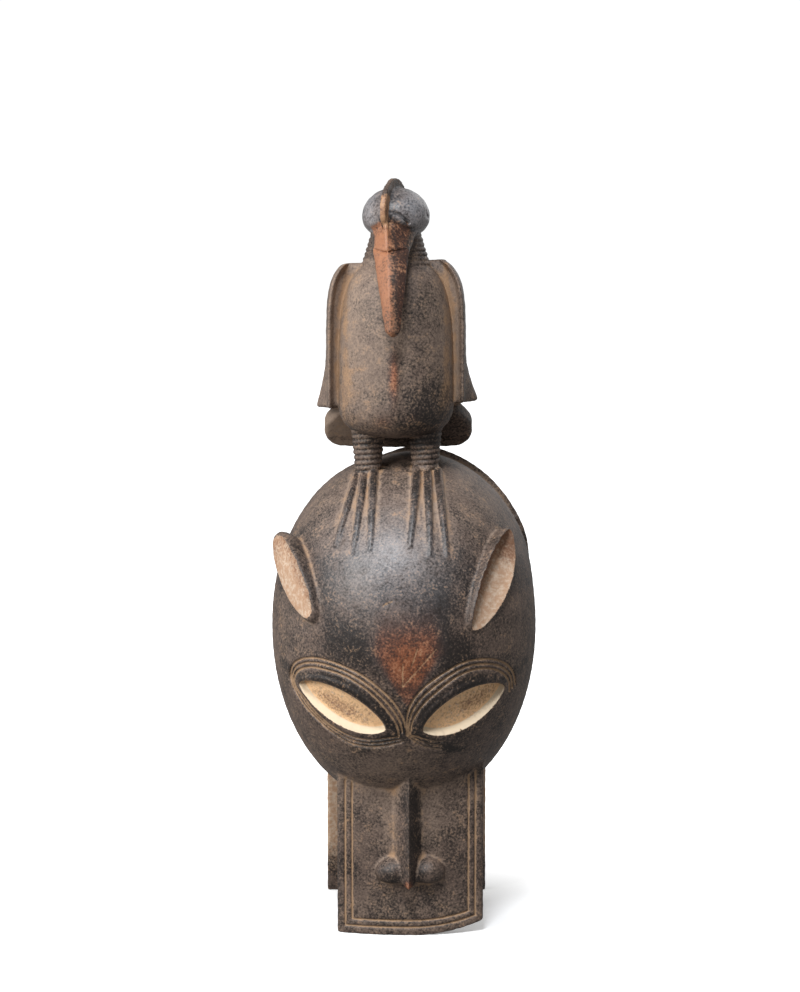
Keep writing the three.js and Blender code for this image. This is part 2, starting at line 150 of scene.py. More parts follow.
def head_egg(x, y, z, grow=0.0):
    """Distance to the head's egg with its reach grown, or to its inner face where it is shrunk."""
    depth, rise = y - HEAD_Y, z - HEAD_Z
    deep = np.where(depth < 0, HEAD_FRONT, HEAD_REAR) + grow
    tall = np.where(rise > 0, HEAD_UP, HEAD_DOWN) + grow
    power = np.where(rise > 0, CROWN_POWER, CHIN_POWER).astype(np.float32)
    plan = np.abs(x / (HEAD_HALF_WIDTH + grow)) ** PLAN_POWER + np.abs(depth / deep) ** PLAN_POWER
    gauge = (plan ** (power / PLAN_POWER) + np.abs(rise / tall) ** power) ** (1 / power)
    reach = np.sqrt(x * x + depth * depth + rise * rise)
    return reach * (1 - 1 / np.maximum(gauge, 0.1))


def behind_rim(y, z):
    """How far a place lies behind the plane of the rim."""
    return (y - RIM_TOP[0] - (RIM_TOP[1] - z) * RIM_LEAN) / math.hypot(1, RIM_LEAN)


def head_outside(x, y, z):
    """The egg and its lip, which stands higher at the upper right, cut off behind by the rim."""
    around = np.arctan2(z - HEAD_Z, x)
    raised = ramp(around, *RAISED_FROM) * (1 - ramp(around, *RAISED_TO))
    lip = mix(LIP_LOW, LIP_HIGH, raised) * ramp(behind_rim(y, z), -LIP_WIDTH - LIP_STEP, -LIP_WIDTH)
    lip = lip + BULGE * raised * ramp(y, *BULGE_ALONG)
    return overlap(head_egg(x, y, z) - lip, behind_rim(y, z), OUTER_EDGE)


def head_hollow(x, y, z):
    """The room inside, with the marks of the gouge round its wall."""
    around = np.arctan2(z - HEAD_Z, x)
    gouged = GOUGE_DEPTH * np.abs(np.sin(0.5 * GOUGE_MARKS * around + 0.04 * y))
    return head_egg(x, y, z, -WALL) + gouged


leave(head_outside, *HEAD_BOX)
take(head_hollow, *HEAD_BOX, edge=INNER_EDGE)

# The rim's lashing holes and knob: two small holes are bored through the raised lip at the upper
# right, for the cords of the costume, and a small knob is carved on the lip beside them.
LASHING_HOLES = [(98.6, 50, 356), (102.4, 50, 349.4)]
LASHING_HOLE_RADIUS = 1.7
LASHING_HOLE_WAY = (-14, 34, -8)
LIP_KNOB = (101, 65, 352.5)
LIP_KNOB_RADIUS = 3.2
LIP_KNOB_REACH = 7
LASHING_HOLE_REACH = 24


def ball(centre, radius):
    """A round knob about a centre."""
    def form(x, y, z):
        return np.sqrt((x - centre[0]) ** 2 + (y - centre[1]) ** 2 + (z - centre[2]) ** 2) - radius
    return form


def cube_about(centre, reach):
    """The corners of a cube that reaches as far as given from its centre."""
    return [c - reach for c in centre], [c + reach for c in centre]


def tapered_bar(start, end, radii):
    """A round bar from start to end, with its radius at each."""
    start, end = Vector(start), Vector(end)
    way = end - start

    def form(x, y, z):
        dx, dy, dz = x - start.x, y - start.y, z - start.z
        share = np.clip((dx * way.x + dy * way.y + dz * way.z) / way.length_squared, 0, 1)
        away = np.sqrt((dx - share * way.x) ** 2 + (dy - share * way.y) ** 2 + (dz - share * way.z) ** 2)
        return away - mix(*radii, share)
    return form


leave(ball(LIP_KNOB, LIP_KNOB_RADIUS), *cube_about(LIP_KNOB, LIP_KNOB_REACH), fillet=1)
for hole in LASHING_HOLES:
    start, end = Vector(hole), Vector(hole) + Vector(LASHING_HOLE_WAY)
    radii = (LASHING_HOLE_RADIUS, LASHING_HOLE_RADIUS)
    take(tapered_bar(start, end, radii), *cube_about((start + end) / 2, LASHING_HOLE_REACH))

# The ears: two leaf-shaped cups on the temples, each with a tall wall toward the crown and a low one
# outside. They are cut from the same wood, and their roots are cut flush with the room in the head.
EARS = [
    {"foot": (-72, -85, 281), "tip": (-107, -30, 350), "face": (-0.66, -0.62, 0.4),
     "width": 17, "depth": 20, "crown_side": -1, "floor": (14.5, 11.5, 4), "wall": 4.0},
    {"foot": (54, -98, 275), "tip": (89, -42, 355), "face": (0.64, -0.66, 0.38),
     "width": 18, "depth": 21, "crown_side": 1, "floor": (3, -5, 11), "wall": 3.5},
]
EAR_TAPER = 0.55
EAR_BOX_POWER = 2.6
EAR_SPILL = 2
EAR_FILLET = 2.5
EAR_EDGE = 1.2
EAR_REACH = 54
EAR_ROOTS = ((-105, -100, 255), (105, 20, 375))


def ear_axes(ear):
    """An ear's middle, and its directions along from foot to tip, across, and out of its mouth."""
    foot, tip, face = (Vector(ear[name]) for name in ("foot", "tip", "face"))
    along = (tip - foot).normalized()
    across = face.cross(along).normalized()
    return (foot + tip) / 2, along, across, along.cross(across), (tip - foot).length / 2


def in_ear(ear, x, y, z):
    """Places in an ear's own axes: its share of the length, toward the crown, and out of the mouth."""
    middle, along, across, out, half_length = ear_axes(ear)
    dx, dy, dz = x - middle.x, y - middle.y, z - middle.z
    share = (dx * along.x + dy * along.y + dz * along.z) / half_length
    crownward = (dx * across.x + dy * across.y + dz * across.z) * ear["crown_side"]
    return share, crownward, dx * out.x + dy * out.y + dz * out.z


def ear_leaf(ear):
    """The ear before it is scooped: a pointed leaf, boxy across, that stands off the temple."""
    def form(x, y, z):
        share, crownward, out = in_ear(ear, x, y, z)
        taper = np.maximum(1 - share * share, 0) ** EAR_TAPER
        gauge = np.abs(crownward / ear["width"]) ** EAR_BOX_POWER
        gauge = (gauge + np.abs(out / ear["depth"]) ** EAR_BOX_POWER) ** (1 / EAR_BOX_POWER)
        steep = np.sqrt(1 + (0.7 * share) ** 2)
        inside = (gauge - taper) * ear["width"] / steep
        return np.maximum(inside, (np.abs(share) - 1) * 45)
    return form


def ear_scoop(ear):
    """What is scooped out: everything over the floor, outside the wall on the crown's side."""
    def form(x, y, z):
        share, crownward, out = in_ear(ear, x, y, z)
        taper = np.maximum(1 - share * share, 0) ** EAR_TAPER
        edge = ear["width"] * taper - ear["wall"]
        climb = np.clip((crownward / ear["width"] + 1) / 2, 0, 1)
        by_wall, middle, outer = ear["floor"]
        floor = outer * (1 - climb) ** 2 + (2 * middle) * climb * (1 - climb) + by_wall * climb ** 2
        floor = floor * (0.35 + 0.65 * taper) + 3 * ramp(np.abs(share), 0.75, 1.0)
        return overlap(crownward - edge, floor - out, 3)
    return form


def ear_cup(ear):
    """The scoop, kept to the leaf and a little beyond."""
    scoop, leaf = ear_scoop(ear), ear_leaf(ear)
    return lambda x, y, z: np.maximum(scoop(x, y, z), leaf(x, y, z) - EAR_SPILL)


for ear in EARS:
    leave(ear_leaf(ear), *cube_about(ear_axes(ear)[0], EAR_REACH), fillet=EAR_FILLET)
for ear in EARS:
    take(ear_cup(ear), *cube_about(ear_axes(ear)[0], EAR_REACH), edge=EAR_EDGE)
take(head_hollow, *EAR_ROOTS, edge=1)

# The jaws: a bowed plate in front carries the nose, and a wider plate stands behind the open mouth.
# Both are cut in one with the head, and the mask stands on their lower edges.
FRONT_PLATE = {"left": -58, "right": 69, "face": -50, "thickness": 13, "bow": 10}
BACK_PLATE = {"left": -71, "right": 76, "face": 98, "thickness": 12, "bow": -5}
CORNER_FROM = 8
CORNER_LIFT = 11
PLATE_EDGE = 3


def corner_lift(x):
    """How far the front plate's worn right corner is lifted off the ground."""
    return CORNER_LIFT * (np.maximum(x - CORNER_FROM, 0) / (FRONT_PLATE["right"] - CORNER_FROM)) ** 2


def plate_face(plate, x):
    middle = (plate["left"] + plate["right"]) / 2
    return plate["face"] + plate["bow"] * ((x - middle) / (plate["right"] - middle)) ** 2


def jaw_plate(plate, lift):
    """A plate whose top is rooted halfway into the head's wall."""
    def form(x, y, z):
        face = plate_face(plate, x)
        sides = np.maximum(plate["left"] - x, x - plate["right"])
        depth = np.maximum(face - y, y - face - plate["thickness"])
        slab = overlap(overlap(sides + 0 * y, depth, PLATE_EDGE), lift(x) - z, 1.5)
        return np.maximum(slab, -WALL / 2 - head_egg(x, y, z))
    return form


leave(jaw_plate(FRONT_PLATE, corner_lift), (-64, -58, -5), (75, -18, 160), fillet=1.5)
leave(jaw_plate(BACK_PLATE, lambda x: 0 * x), (-77, 85, -5), (82, 116, 160), fillet=1.5)

# The nose: a sharp wedge down the front plate, with two rounded lobes at its foot.
NOSE = {"ridge": 4, "left": -11, "right": 17, "foot": 46, "top": 142, "foot_y": -73, "top_y": -65}
NOSTRILS = [-9.5, 20.5]
NOSTRIL = {"z": 57, "y": -49, "half_width": 15, "front": 13, "back": 8, "up": 13, "down": 10}
NOSE_FILLET = 3


def egg(x, y, z, centre, half_width, front, back, up, down, powers=(2, 2, 2)):
    """Distance to an egg with its own reach each way. The powers are for its plan, top and foot."""
    side, depth, rise = x - centre[0], y - centre[1], z - centre[2]
    deep = np.where(depth < 0, front, back)
    tall = np.where(rise > 0, up, down)
    plan = np.abs(side / half_width) ** powers[0] + np.abs(depth / deep) ** powers[0]
    power = np.where(rise > 0, powers[1], powers[2]).astype(np.float32)
    gauge = (plan ** (power / powers[0]) + np.abs(rise / tall) ** power) ** (1 / power)
    reach = np.sqrt(side * side + depth * depth + rise * rise)
    return reach * (1 - 1 / np.maximum(gauge, 0.05))


def nose_wedge(x, y, z):
    ridge_y = mix(NOSE["foot_y"], NOSE["top_y"], (z - NOSE["foot"]) / (NOSE["top"] - NOSE["foot"]))
    root_y = FRONT_PLATE["face"] + 3
    deep = root_y - ridge_y
    back = (y - ridge_y) / deep
    left = (NOSE["ridge"] - x) - (NOSE["ridge"] - NOSE["left"]) * back
    right = (x - NOSE["ridge"]) - (NOSE["right"] - NOSE["ridge"]) * back
    flanks = overlap(left * 0.85, right * 0.87, 0.8)
    ends = np.maximum(NOSE["foot"] + 0.25 * (y - NOSE["foot_y"]) - z, -WALL / 2 - head_egg(x, y, z))
    return overlap(np.maximum(flanks, y - root_y), ends, 1.5)


def nostril(centre_x):
    size = [NOSTRIL[name] for name in ("half_width", "front", "back", "up", "down")]
    return lambda x, y, z: egg(x, y, z, (centre_x, NOSTRIL["y"], NOSTRIL["z"]), *size, powers=(2, 1.8, 2.4))


leave(nose_wedge, (-20, -80, 40), (26, -40, 160), fillet=1.5)
for centre_x in NOSTRILS:
    low = (centre_x - 21, -68, 42)
    leave(nostril(centre_x), low, (centre_x + 21, -36, 76), fillet=NOSE_FILLET)

# The border: a doubled line is cut down both sides of the front plate and across its foot. Its ends
# run out under the chin.
BORDER_INSETS = (7, 13)
BORDER_TOP = 152
LINE_WIDTH = 2.4
LINE_DEPTH = 1.7


def distance_to_line(across, up, points):
    """Distance in a face's own plane to a line drawn through points."""
    nearest = np.full(np.broadcast(across, up).shape, 1e3, np.float32)
    for (x0, z0), (x1, z1) in zip(points, points[1:]):
        run, rise = x1 - x0, z1 - z0
        share = ((across - x0) * run + (up - z0) * rise) / (run * run + rise * rise)
        share = np.clip(share, 0, 1)
        nearest = np.minimum(nearest, np.hypot(across - x0 - share * run, up - z0 - share * rise))
    return nearest


def groove(distance, width=LINE_WIDTH, depth=LINE_DEPTH):
    """The depth of a V cut with a rounded floor, at a distance from its line."""
    return depth * (1 - ramp(distance, 0, width / 2 + 0.5))


def border_points(inset):
    left, right = FRONT_PLATE["left"] + inset, FRONT_PLATE["right"] - inset
    foot = [(x, inset + float(corner_lift(x))) for x in np.linspace(left, right, 9)]
    return [(left, BORDER_TOP)] + foot + [(right, BORDER_TOP)]


def border_distance(x, z):
    return np.minimum(*(distance_to_line(x, z, border_points(inset)) for inset in BORDER_INSETS))


def border_cuts(x, y, z):
    away = border_distance(x, z)
    cut = np.where(away < LINE_WIDTH, y - plate_face(FRONT_PLATE, x) - groove(away), LINE_WIDTH)
    return np.maximum(cut, 0.8 - head_egg(x, y, z))


take(border_cuts, (-58, -56, 2), (69, -32, 150))

# The eyes: slanted almonds sunk in the face, with a steep wall above and a sloped one below. Three
# lines are cut over each brow and under each eye, and meet in a V above the nose. Those under the
# right eye are worn short.
EYES = [
    {"outer": (-89.5, 225.2), "inner": (-15.5, 191), "upper": 15.2, "lower": 15.3},
    {"outer": (85.5, 223.5), "inner": (15.5, 190), "upper": 15.8, "lower": 16},
]
EYE_DEPTH = 6
EYE_SKEW = 0.15
EYE_POWER = 0.65
EYE_LID = 1.4
EYE_BEVEL = 6.5
BROW_RIDGE = 1.3
OUTER_LINES = {
    "left upper": [(-97, 233), (-95, 240), (-90, 245.5), (-82, 249.3), (-71.5, 250.6), (-60, 248.6),
                   (-48, 244.8), (-37, 240), (-28, 234), (-18.5, 226), (-10.5, 218), (-4.5, 209),
                   (-0.5, 200.5), (1, 193)],
    "left lower": [(-97, 233), (-97, 229), (-96.6, 225), (-94, 218), (-88.4, 209), (-81.4, 201),
                   (-73, 194), (-64.8, 187.2), (-55.3, 181), (-47, 176.6), (-37.6, 174.5), (-28, 174),
                   (-18.7, 175), (-10.6, 177), (-1, 180)],
    "right upper": [(2, 186), (2, 200.5), (3.5, 209.3), (7, 217.2), (12, 224.2), (18.7, 231),
                    (26.7, 237), (36, 242.8), (45.4, 247.8), (54.8, 250.4), (64.3, 250.8), (74, 249.6),
                    (82.5, 246), (90, 239.5), (94, 231), (95, 222)],
    "right lower": [(2, 186), (6.9, 181.2), (13.6, 176.3), (21.7, 173), (31, 171.5)],
}
INNER_LINES = {
    "left upper": [(-94.2, 226), (-93, 232), (-89, 237.6), (-80.7, 241.5), (-71, 242), (-60, 240.3),
                   (-49.2, 237.4), (-39.8, 232.3), (-30.5, 225.8), (-21.2, 217), (-13.2, 207),
                   (-7.2, 197.7), (-4.8, 190), (-4.5, 184)],
    "left lower": [(-94.2, 226), (-93.6, 222.5), (-91, 218.5), (-85.4, 213), (-78.5, 204.2), (-70.2, 197),
                   (-65, 193), (-60.6, 190.2), (-51, 185), (-41.6, 182), (-36, 181.2), (-32, 180.7),
                   (-24, 181), (-16, 183), (-4.5, 184)],
    "right upper": [(5, 186), (5.5, 192), (7, 199.2), (10.8, 206.4), (16, 214.2), (22.8, 221),
                    (30.8, 227.8), (40, 235), (49.5, 240), (59, 242.5), (68.5, 242.3), (77, 240),
                    (83.5, 235.5), (88, 230), (90, 224), (90, 217)],
    "right lower": [(5, 186), (10.9, 184.5), (17.7, 181.8), (24.4, 180), (32, 179)],
}
BROW_SHARES = (0, 0.5, 1)
SCRATCHES = [
    [(-1, 230), (27, 262)],
    [(-1, 250), (-1.5, 229)],
    [(11, 262), (6, 247)],
    [(-17.5, 298), (-14, 300), (-10, 301.5)],
]
SCRATCH = {"width": 0.8, "depth": 0.45}


def head_face(x, z):
    """The y of the head's front surface at a place in the face."""
    rise = z - HEAD_Z
    power = np.where(rise > 0, CROWN_POWER, CHIN_POWER)
    tall = np.where(rise > 0, HEAD_UP, HEAD_DOWN)
    plan = np.maximum(1 - np.abs(rise / tall) ** power, 0) ** (PLAN_POWER / power)
    left = np.maximum(plan - np.abs(x / HEAD_HALF_WIDTH) ** PLAN_POWER, 0)
    return HEAD_Y - HEAD_FRONT * left ** (1 / PLAN_POWER)


def eye_edges(eye, x, z):
    """How far a place in the face lies under an eye's upper edge, and over its lower one."""
    (x0, z0), (x1, z1) = eye["outer"], eye["inner"]
    half = math.hypot(x1 - x0, z1 - z0) / 2
    run, rise = (x1 - x0) / (2 * half), (z1 - z0) / (2 * half)
    dx, dz = x - (x0 + x1) / 2, z - (z0 + z1) / 2
    share = (dx * run + dz * rise) / half
    over = (dz * run - dx * rise) * math.copysign(1, run)
    full = np.maximum(1 - share * share, 0) ** EYE_POWER
    upper = eye["upper"] * full * (1 - EYE_SKEW * share)
    lower = eye["lower"] * full * (1 + EYE_SKEW * share)
    return upper - over, lower + over


def rounded(points):
    """A line's points with its corners cut off, twice over, so that it runs in a curve."""
    for _ in range(2):
        cut = [mix(one, other, share) for one, other in zip(points, points[1:]) for share in (0.25, 0.75)]
        points = [points[0]] + cut + [points[-1]]
    return points


def brow_distance(x, z):
    nearest = 1e3
    for name in OUTER_LINES:
        for share in BROW_SHARES:
            points = [mix(np.array(one), np.array(other), share)
                      for one, other in zip(OUTER_LINES[name], INNER_LINES[name])]
            nearest = np.minimum(nearest, distance_to_line(x, z, rounded(points)))
    return nearest


def scratch_distance(x, z):
    return np.min([distance_to_line(x, z, points) for points in SCRATCHES], axis=0)


def face_form(x, y, z):
    """How far a place lies in front of the face's own surface."""
    face = head_face(x, z)
    lean_x, lean_z = np.gradient(face[:, 0, :], STEP)
    return (y - face) / np.sqrt(1 + lean_x ** 2 + lean_z ** 2)[:, None, :]


def face_cuts(x, y, z):
    """The eyes, the brow lines and a few scratches: all that is cut into the face."""
    brow, scratch = brow_distance(x, z), scratch_distance(x, z)
    deep = np.maximum(groove(brow), groove(scratch, **SCRATCH))
    cut = (brow < LINE_WIDTH) | (scratch < 1.5)
    for eye in EYES:
        under, over = eye_edges(eye, x, z)
        floor = EYE_DEPTH * np.minimum(ramp(under, 0, EYE_LID), np.clip(over / EYE_BEVEL, 0, 1))
        inside = (under > 0) & (over > 0)
        deep = np.where(inside, np.maximum(deep, floor), deep)
        cut = cut | inside
    return np.where(cut, face_form(x, y, z) - deep, LINE_WIDTH)


def face_ridges(x, y, z):
    """A low rounded ridge over each eye, which lies on the face like a lid."""
    height = 0
    for eye in EYES:
        under, over = eye_edges(eye, x, z)
        across = ramp(-under, -0.5, 2.5) * (1 - ramp(-under, 4, 7.5))
        height = np.maximum(height, BROW_RIDGE * across * ramp(over, 0, 10))
    form = face_form(x, y, z)
    return np.where(height > 0.02, np.maximum(-form - height, form - 6), 8)


leave(face_ridges, (-102, -113, 165), (98, -40, 258))
take(face_cuts, (-102, -114, 165), (98, -40, 306))

# The hornbill's body: an egg with a low keel down its breast, inside two folded wings. It stands a
# little left of the head's middle, and is cut in one with it.
BIRD_X = -7
BODY = {"centre": (-7, -12, 464), "half_width": 50, "front": 44, "back": 36, "up": 119, "down": 33}
BODY_POWERS = (2, 3.6, 2.7)
KEEL_HEIGHT = 1.6
KEEL_HALF_WIDTH = 5
KEEL_LOW = (432, 460)
KEEL_HIGH = (500, 525)
WING_Y = 4
WING_TOP = 583
WING_FOOT = 459
WING_HALF_WIDTH = 61
WING_FRONT = 31
WING_BACK = 33
WING_BACK_POWER = 2.6
WING_TIP_RISE = 2.5
SHOULDER_DROP = 16.5
SHOULDER_RUN = 13
FLARE_START = 80
FLARE_RUN = 40
FLARE_REACH = 9.5
FLARE_MORE_AT_RIGHT = 2
FLARE_ALONG = (-20, 5)
WING_SPLAY = 2.5
WING_TROUGH = -18
TROUGH_RISE = 9
RIM_RISE = 4
FEATHERS = 12
FEATHER_DEPTH = 2.2


def breast(x, y, z):
    """The body with its keel, which fades out upward and downward."""
    keel = KEEL_HEIGHT * np.exp(-((x - BIRD_X + 1) / KEEL_HALF_WIDTH) ** 2)
    keel = keel * ramp(z, *KEEL_LOW) * (1 - ramp(z, *KEEL_HIGH))
    return egg(x, y, z, **BODY, powers=BODY_POWERS) - keel * (y < BODY["centre"][1])


def wing_half_width(z):
    """How far the wings reach to a side, less at the rounded shoulders."""
    return WING_HALF_WIDTH - SHOULDER_DROP * np.exp((np.minimum(z, WING_TOP) - WING_TOP) / SHOULDER_RUN)


def wings(x, y, z):
    """Both wings: round and fluted behind, with a trough and a rim in front, and flared at the tips."""
    side = x - BIRD_X
    reach = np.abs(side)
    half = wing_half_width(z)
    narrow = half / WING_HALF_WIDTH
    depth = (y - WING_Y) / narrow
    spread = (np.maximum(WING_TOP - z - FLARE_START, 0) / FLARE_RUN) ** 1.5
    flare = FLARE_REACH + FLARE_MORE_AT_RIGHT * np.sign(side)
    out = half + flare * spread * ramp(depth, *FLARE_ALONG)
    around = np.arctan2(depth, side)
    flute = FEATHER_DEPTH * (1 - np.abs(np.sin(FEATHERS * around))) ** 2 * (depth > 0)
    gauge = ((reach / out) ** WING_BACK_POWER + np.abs(depth / WING_BACK) ** WING_BACK_POWER)
    gauge = gauge ** (1 / WING_BACK_POWER)
    back = np.hypot(reach, depth) * (1 - 1 / np.maximum(gauge, 0.1)) + flute
    flank = reach - out - WING_SPLAY * depth / WING_FRONT
    outline = np.where(depth > 0, back, flank)
    rise = np.clip((reach - 40) / np.maximum(out - 44, 3), 0, 1)
    rim = ramp(reach, out - 7.5, out - 5)
    front = (WING_TROUGH - TROUGH_RISE * rise ** 2 - RIM_RISE * rim - depth) * narrow
    tip_rise = side / WING_HALF_WIDTH * WING_TIP_RISE
    ends = np.maximum(z - WING_TOP - tip_rise, WING_FOOT + tip_rise - z)
    return overlap(overlap(outline, front, 2), ends, 4)


leave(wings, (-92, -34, 448), (78, 46, 592))
leave(breast, (-64, -64, 424), (50, 30, 592), fillet=1.5)

# The tail: a broad, thick fan that slopes down and back from under the wings.
TAIL_ROOT = (-5, 9.2, 458.1)
TAIL_TILT = 43
TAIL_HALF_WIDTH = 65
TAIL_LENGTH = 48
TAIL_THICKNESS = 17
TAIL_CORNER = 16
TAIL_BOW = 3
TAIL_WAIST = 10
TAIL_WAIST_LENGTH = 22
TAIL_EDGE = 5


def tail(x, y, z):
    """A flat fan, narrower at its root, with a bowed end and rounded corners."""
    slope = math.radians(TAIL_TILT)
    side, depth, rise = x - TAIL_ROOT[0], y - TAIL_ROOT[1], z - TAIL_ROOT[2]
    down = depth * math.sin(slope) - rise * math.cos(slope)
    thick = np.abs(depth * math.cos(slope) + rise * math.sin(slope)) - TAIL_THICKNESS / 2
    length = TAIL_LENGTH - TAIL_BOW * (side / TAIL_HALF_WIDTH) ** 2
    waist = TAIL_WAIST * (1 - ramp(down, 0, TAIL_WAIST_LENGTH))
    sideways = np.abs(side) - TAIL_HALF_WIDTH + waist + TAIL_CORNER
    endways = np.maximum(down - length, -down - 6) + TAIL_CORNER
    fan = np.hypot(np.maximum(sideways, 0), np.maximum(endways, 0)) - TAIL_CORNER
    fan = np.where((sideways > 0) | (endways > 0), fan, np.maximum(sideways, endways) - TAIL_CORNER)
    return overlap(fan, thick, TAIL_EDGE)


leave(tail, (-76, -12, 405), (68, 62, 476), fillet=2)

# The legs and feet: two ringed legs, and three long toes each that run down the brow as low ridges.
LEGS = [(-31, -13), (18.5, -13)]
LEG_LOW = 399
LEG_HIGH = 440
LEG_RADII = (11.2, 15)
LEG_RINGS = 9
LEG_GROOVE = 1.5
LEG_SLANT = 0.08
LEG_SPREAD = 2.5
TOES = [
    (-40, 400, -57.5, 344.5),
    (-33.5, 402, -42.5, 339),
    (-26, 402, -28.5, 342),
    (11, 404, 5, 345.5),
    (19.5, 404, 22, 338),
    (28.5, 402, 36, 336),
]
TOE_RADII = (4.7, 2.4)
TOE_SINK = 1.3
TOE_STEPS = 6


def leg(centre_x, centre_y):
    """A leg that widens upward, cut round with slightly slanted rings, and spreads where it stands."""
    def form(x, y, z):
        slant = z - LEG_SLANT * (x - centre_x)
        climb = np.clip((slant - LEG_LOW) / (LEG_HIGH - LEG_LOW), 0, 1.2)
        wave = np.abs(np.sin(math.pi * LEG_RINGS * climb)) ** 0.6
        radius = mix(*LEG_RADII, climb) - LEG_GROOVE * (1 - wave)
        spread = LEG_SPREAD * (1 - ramp(z, 388, 400))
        return np.maximum(np.hypot(x - centre_x, y - centre_y) - radius - spread, 385 - z)
    return form


def leave_bars(points, radii, fillet, cut=False):
    """A chain of bars through points, tapered from first to last, left standing or cut out."""
    steps = len(points) - 1
    for i, (start, end) in enumerate(zip(points, points[1:])):
        ends = [mix(*radii, (i + k) / steps) for k in (0, 1)]
        margin = max(ends) + fillet + 3
        low = [min(pair) - margin for pair in zip(start, end)]
        high = [max(pair) + margin for pair in zip(start, end)]
        if cut:
            take(tapered_bar(start, end, ends), low, high, fillet)
        else:
            leave(tapered_bar(start, end, ends), low, high, fillet)


for leg_x, leg_y in LEGS:
    leave(leg(leg_x, leg_y), (leg_x - 20, leg_y - 20, 384), (leg_x + 20, leg_y + 20, 446), fillet=1)
for start_x, start_z, end_x, end_z in TOES:
    points = []
    for share in np.arange(TOE_STEPS + 1) / TOE_STEPS:
        x, z = mix(start_x, end_x, share), mix(start_z, end_z, share)
        points.append((x, float(head_face(x, z)) + TOE_SINK * share ** 2, z))
    leave_bars(points, TOE_RADII, 0.8)

# The hornbill's neck and head: a ringed neck, a round skull, and a face that narrows to the beak's
# root. The face is turned a little to the viewer's left.
NECK_CENTRE = (-7, -6)
NECK_LOW = 575
NECK_HIGH = 608
NECK_RADII = (31.5, 21.5)
NECK_RINGS = 8
NECK_GROOVE = 1.3
SKULL = {"centre": (-7, -13, 621), "half_width": 29, "front": 34, "back": 33, "up": 25, "down": 19}
SKULL_POWERS = (2, 2, 2.2)
FACE_TURN = 15
FACE_INSIDE = (-8, -13, 619)
BEAK_ROOT = (-11, -47, 590)
FACE_RADII = (23, 15.5)
FACE_POWER = 1.35
BIRD_EYE_RADIUS = 4.6
BIRD_EYE_CUT = 1.0
BIRD_EYE_SPOT = (28.6, 1.6, 625)
BROW_NOTCH = [(18, 25.5, 615.5), (12, 31.2, 621.5), (4.5, 34, 624.5)]
NOTCH_RADII = (1.9, 1.4)
FACE_LINE = [(-9, 37, 593), (-3, 44.4, 591.5), (5, 49.2, 590), (13, 44.4, 591.5), (19, 37, 593)]
FACE_LINE_RADII = (0.9, 0.9)
FACE_RIDGE = [(0, 32.5, 624), (1.5, 38, 613), (3.5, 44, 603), (5, 48, 593)]
RIDGE_RADII = (2.3, 1.9)


def neck(x, y, z):
    """A neck that narrows upward, cut round with rings."""
    climb = np.clip((z - NECK_LOW) / (NECK_HIGH - NECK_LOW), -0.2, 1.2)
    wave = np.abs(np.sin(math.pi * NECK_RINGS * climb)) ** 0.6
    radius = mix(*NECK_RADII, climb) - NECK_GROOVE * (1 - wave)
    ends = np.maximum(NECK_LOW - 6 - z, z - NECK_HIGH)
    return np.maximum(np.hypot(x - NECK_CENTRE[0], y - NECK_CENTRE[1]) - radius, ends)


def skull(x, y, z):
    return egg(x, y, z, **SKULL, powers=SKULL_POWERS)


def turned(x, y):
    """Places in the bird's face: to its side, and out along its beak's direction."""
    turn = math.radians(FACE_TURN)
    dx, dy = x - SKULL["centre"][0], y - SKULL["centre"][1]
    return dx * math.cos(turn) - dy * math.sin(turn), -dx * math.sin(turn) - dy * math.cos(turn)


def from_bird(side, out, z):
    """A place in the block, from one in the bird's face."""
    turn = math.radians(FACE_TURN)
    x = SKULL["centre"][0] + side * math.cos(turn) - out * math.sin(turn)
    return x, SKULL["centre"][1] - side * math.sin(turn) - out * math.cos(turn), z


def bird_face(x, y, z):
    """A face that narrows to the beak's root, with a ridge down its middle and a flat on each side."""
    side, out = turned(x, y)
    start_side, start_out = turned(*FACE_INSIDE[:2])
    end_side, end_out = turned(*BEAK_ROOT[:2])
    run, fall = end_out - start_out, BEAK_ROOT[2] - FACE_INSIDE[2]
    share = ((out - start_out) * run + (z - FACE_INSIDE[2]) * fall) / (run * run + fall * fall)
    share = np.clip(share, 0, 1)
    off = side - mix(start_side, end_side, share)
    over = np.hypot(out - start_out - share * run, z - FACE_INSIDE[2] - share * fall)
    gauge = (np.abs(off) ** FACE_POWER + over ** FACE_POWER) ** (1 / FACE_POWER)
    return (gauge - mix(*FACE_RADII, share)) * 0.85


leave(neck, (-42, -42, 566), (28, 30, 612), fillet=1)
leave(skull, (-42, -54, 596), (28, 26, 652), fillet=2)
leave(bird_face, (-46, -70, 570), (30, 20, 650), fillet=2)
leave_bars([from_bird(*spot) for spot in FACE_RIDGE], RIDGE_RADII, 1)

# The beak: it curves out from the face and hangs free before the breast, with a ridge down its front
# and a rounded tip.
BEAK = {"top": 594, "foot": 519.5, "half_width": 16, "tip_half": 6}
BEAK_ROOT_Y = -46
BEAK_TIP_Y = -76
BEAK_X = (-11, -9.5)
BEAK_POWER = 1.28
BEAK_CURVE = 2.6
BEAK_DEPTH = 0.85
BEAK_TIP_ROUND = 5


def in_beak(x, y, z):
    """Places in the beak's own axes: its share of the length, to its side, and back from its ridge."""
    down = np.clip((BEAK["top"] - z) / (BEAK["top"] - BEAK["foot"]), 0, 1)
    dx = x - mix(*BEAK_X, down)
    dy = y - mix(BEAK_ROOT_Y, BEAK_TIP_Y, 1 - (1 - down) ** BEAK_CURVE)
    turn = math.radians(FACE_TURN)
    return down, dx * math.cos(turn) - dy * math.sin(turn), dx * math.sin(turn) + dy * math.cos(turn)


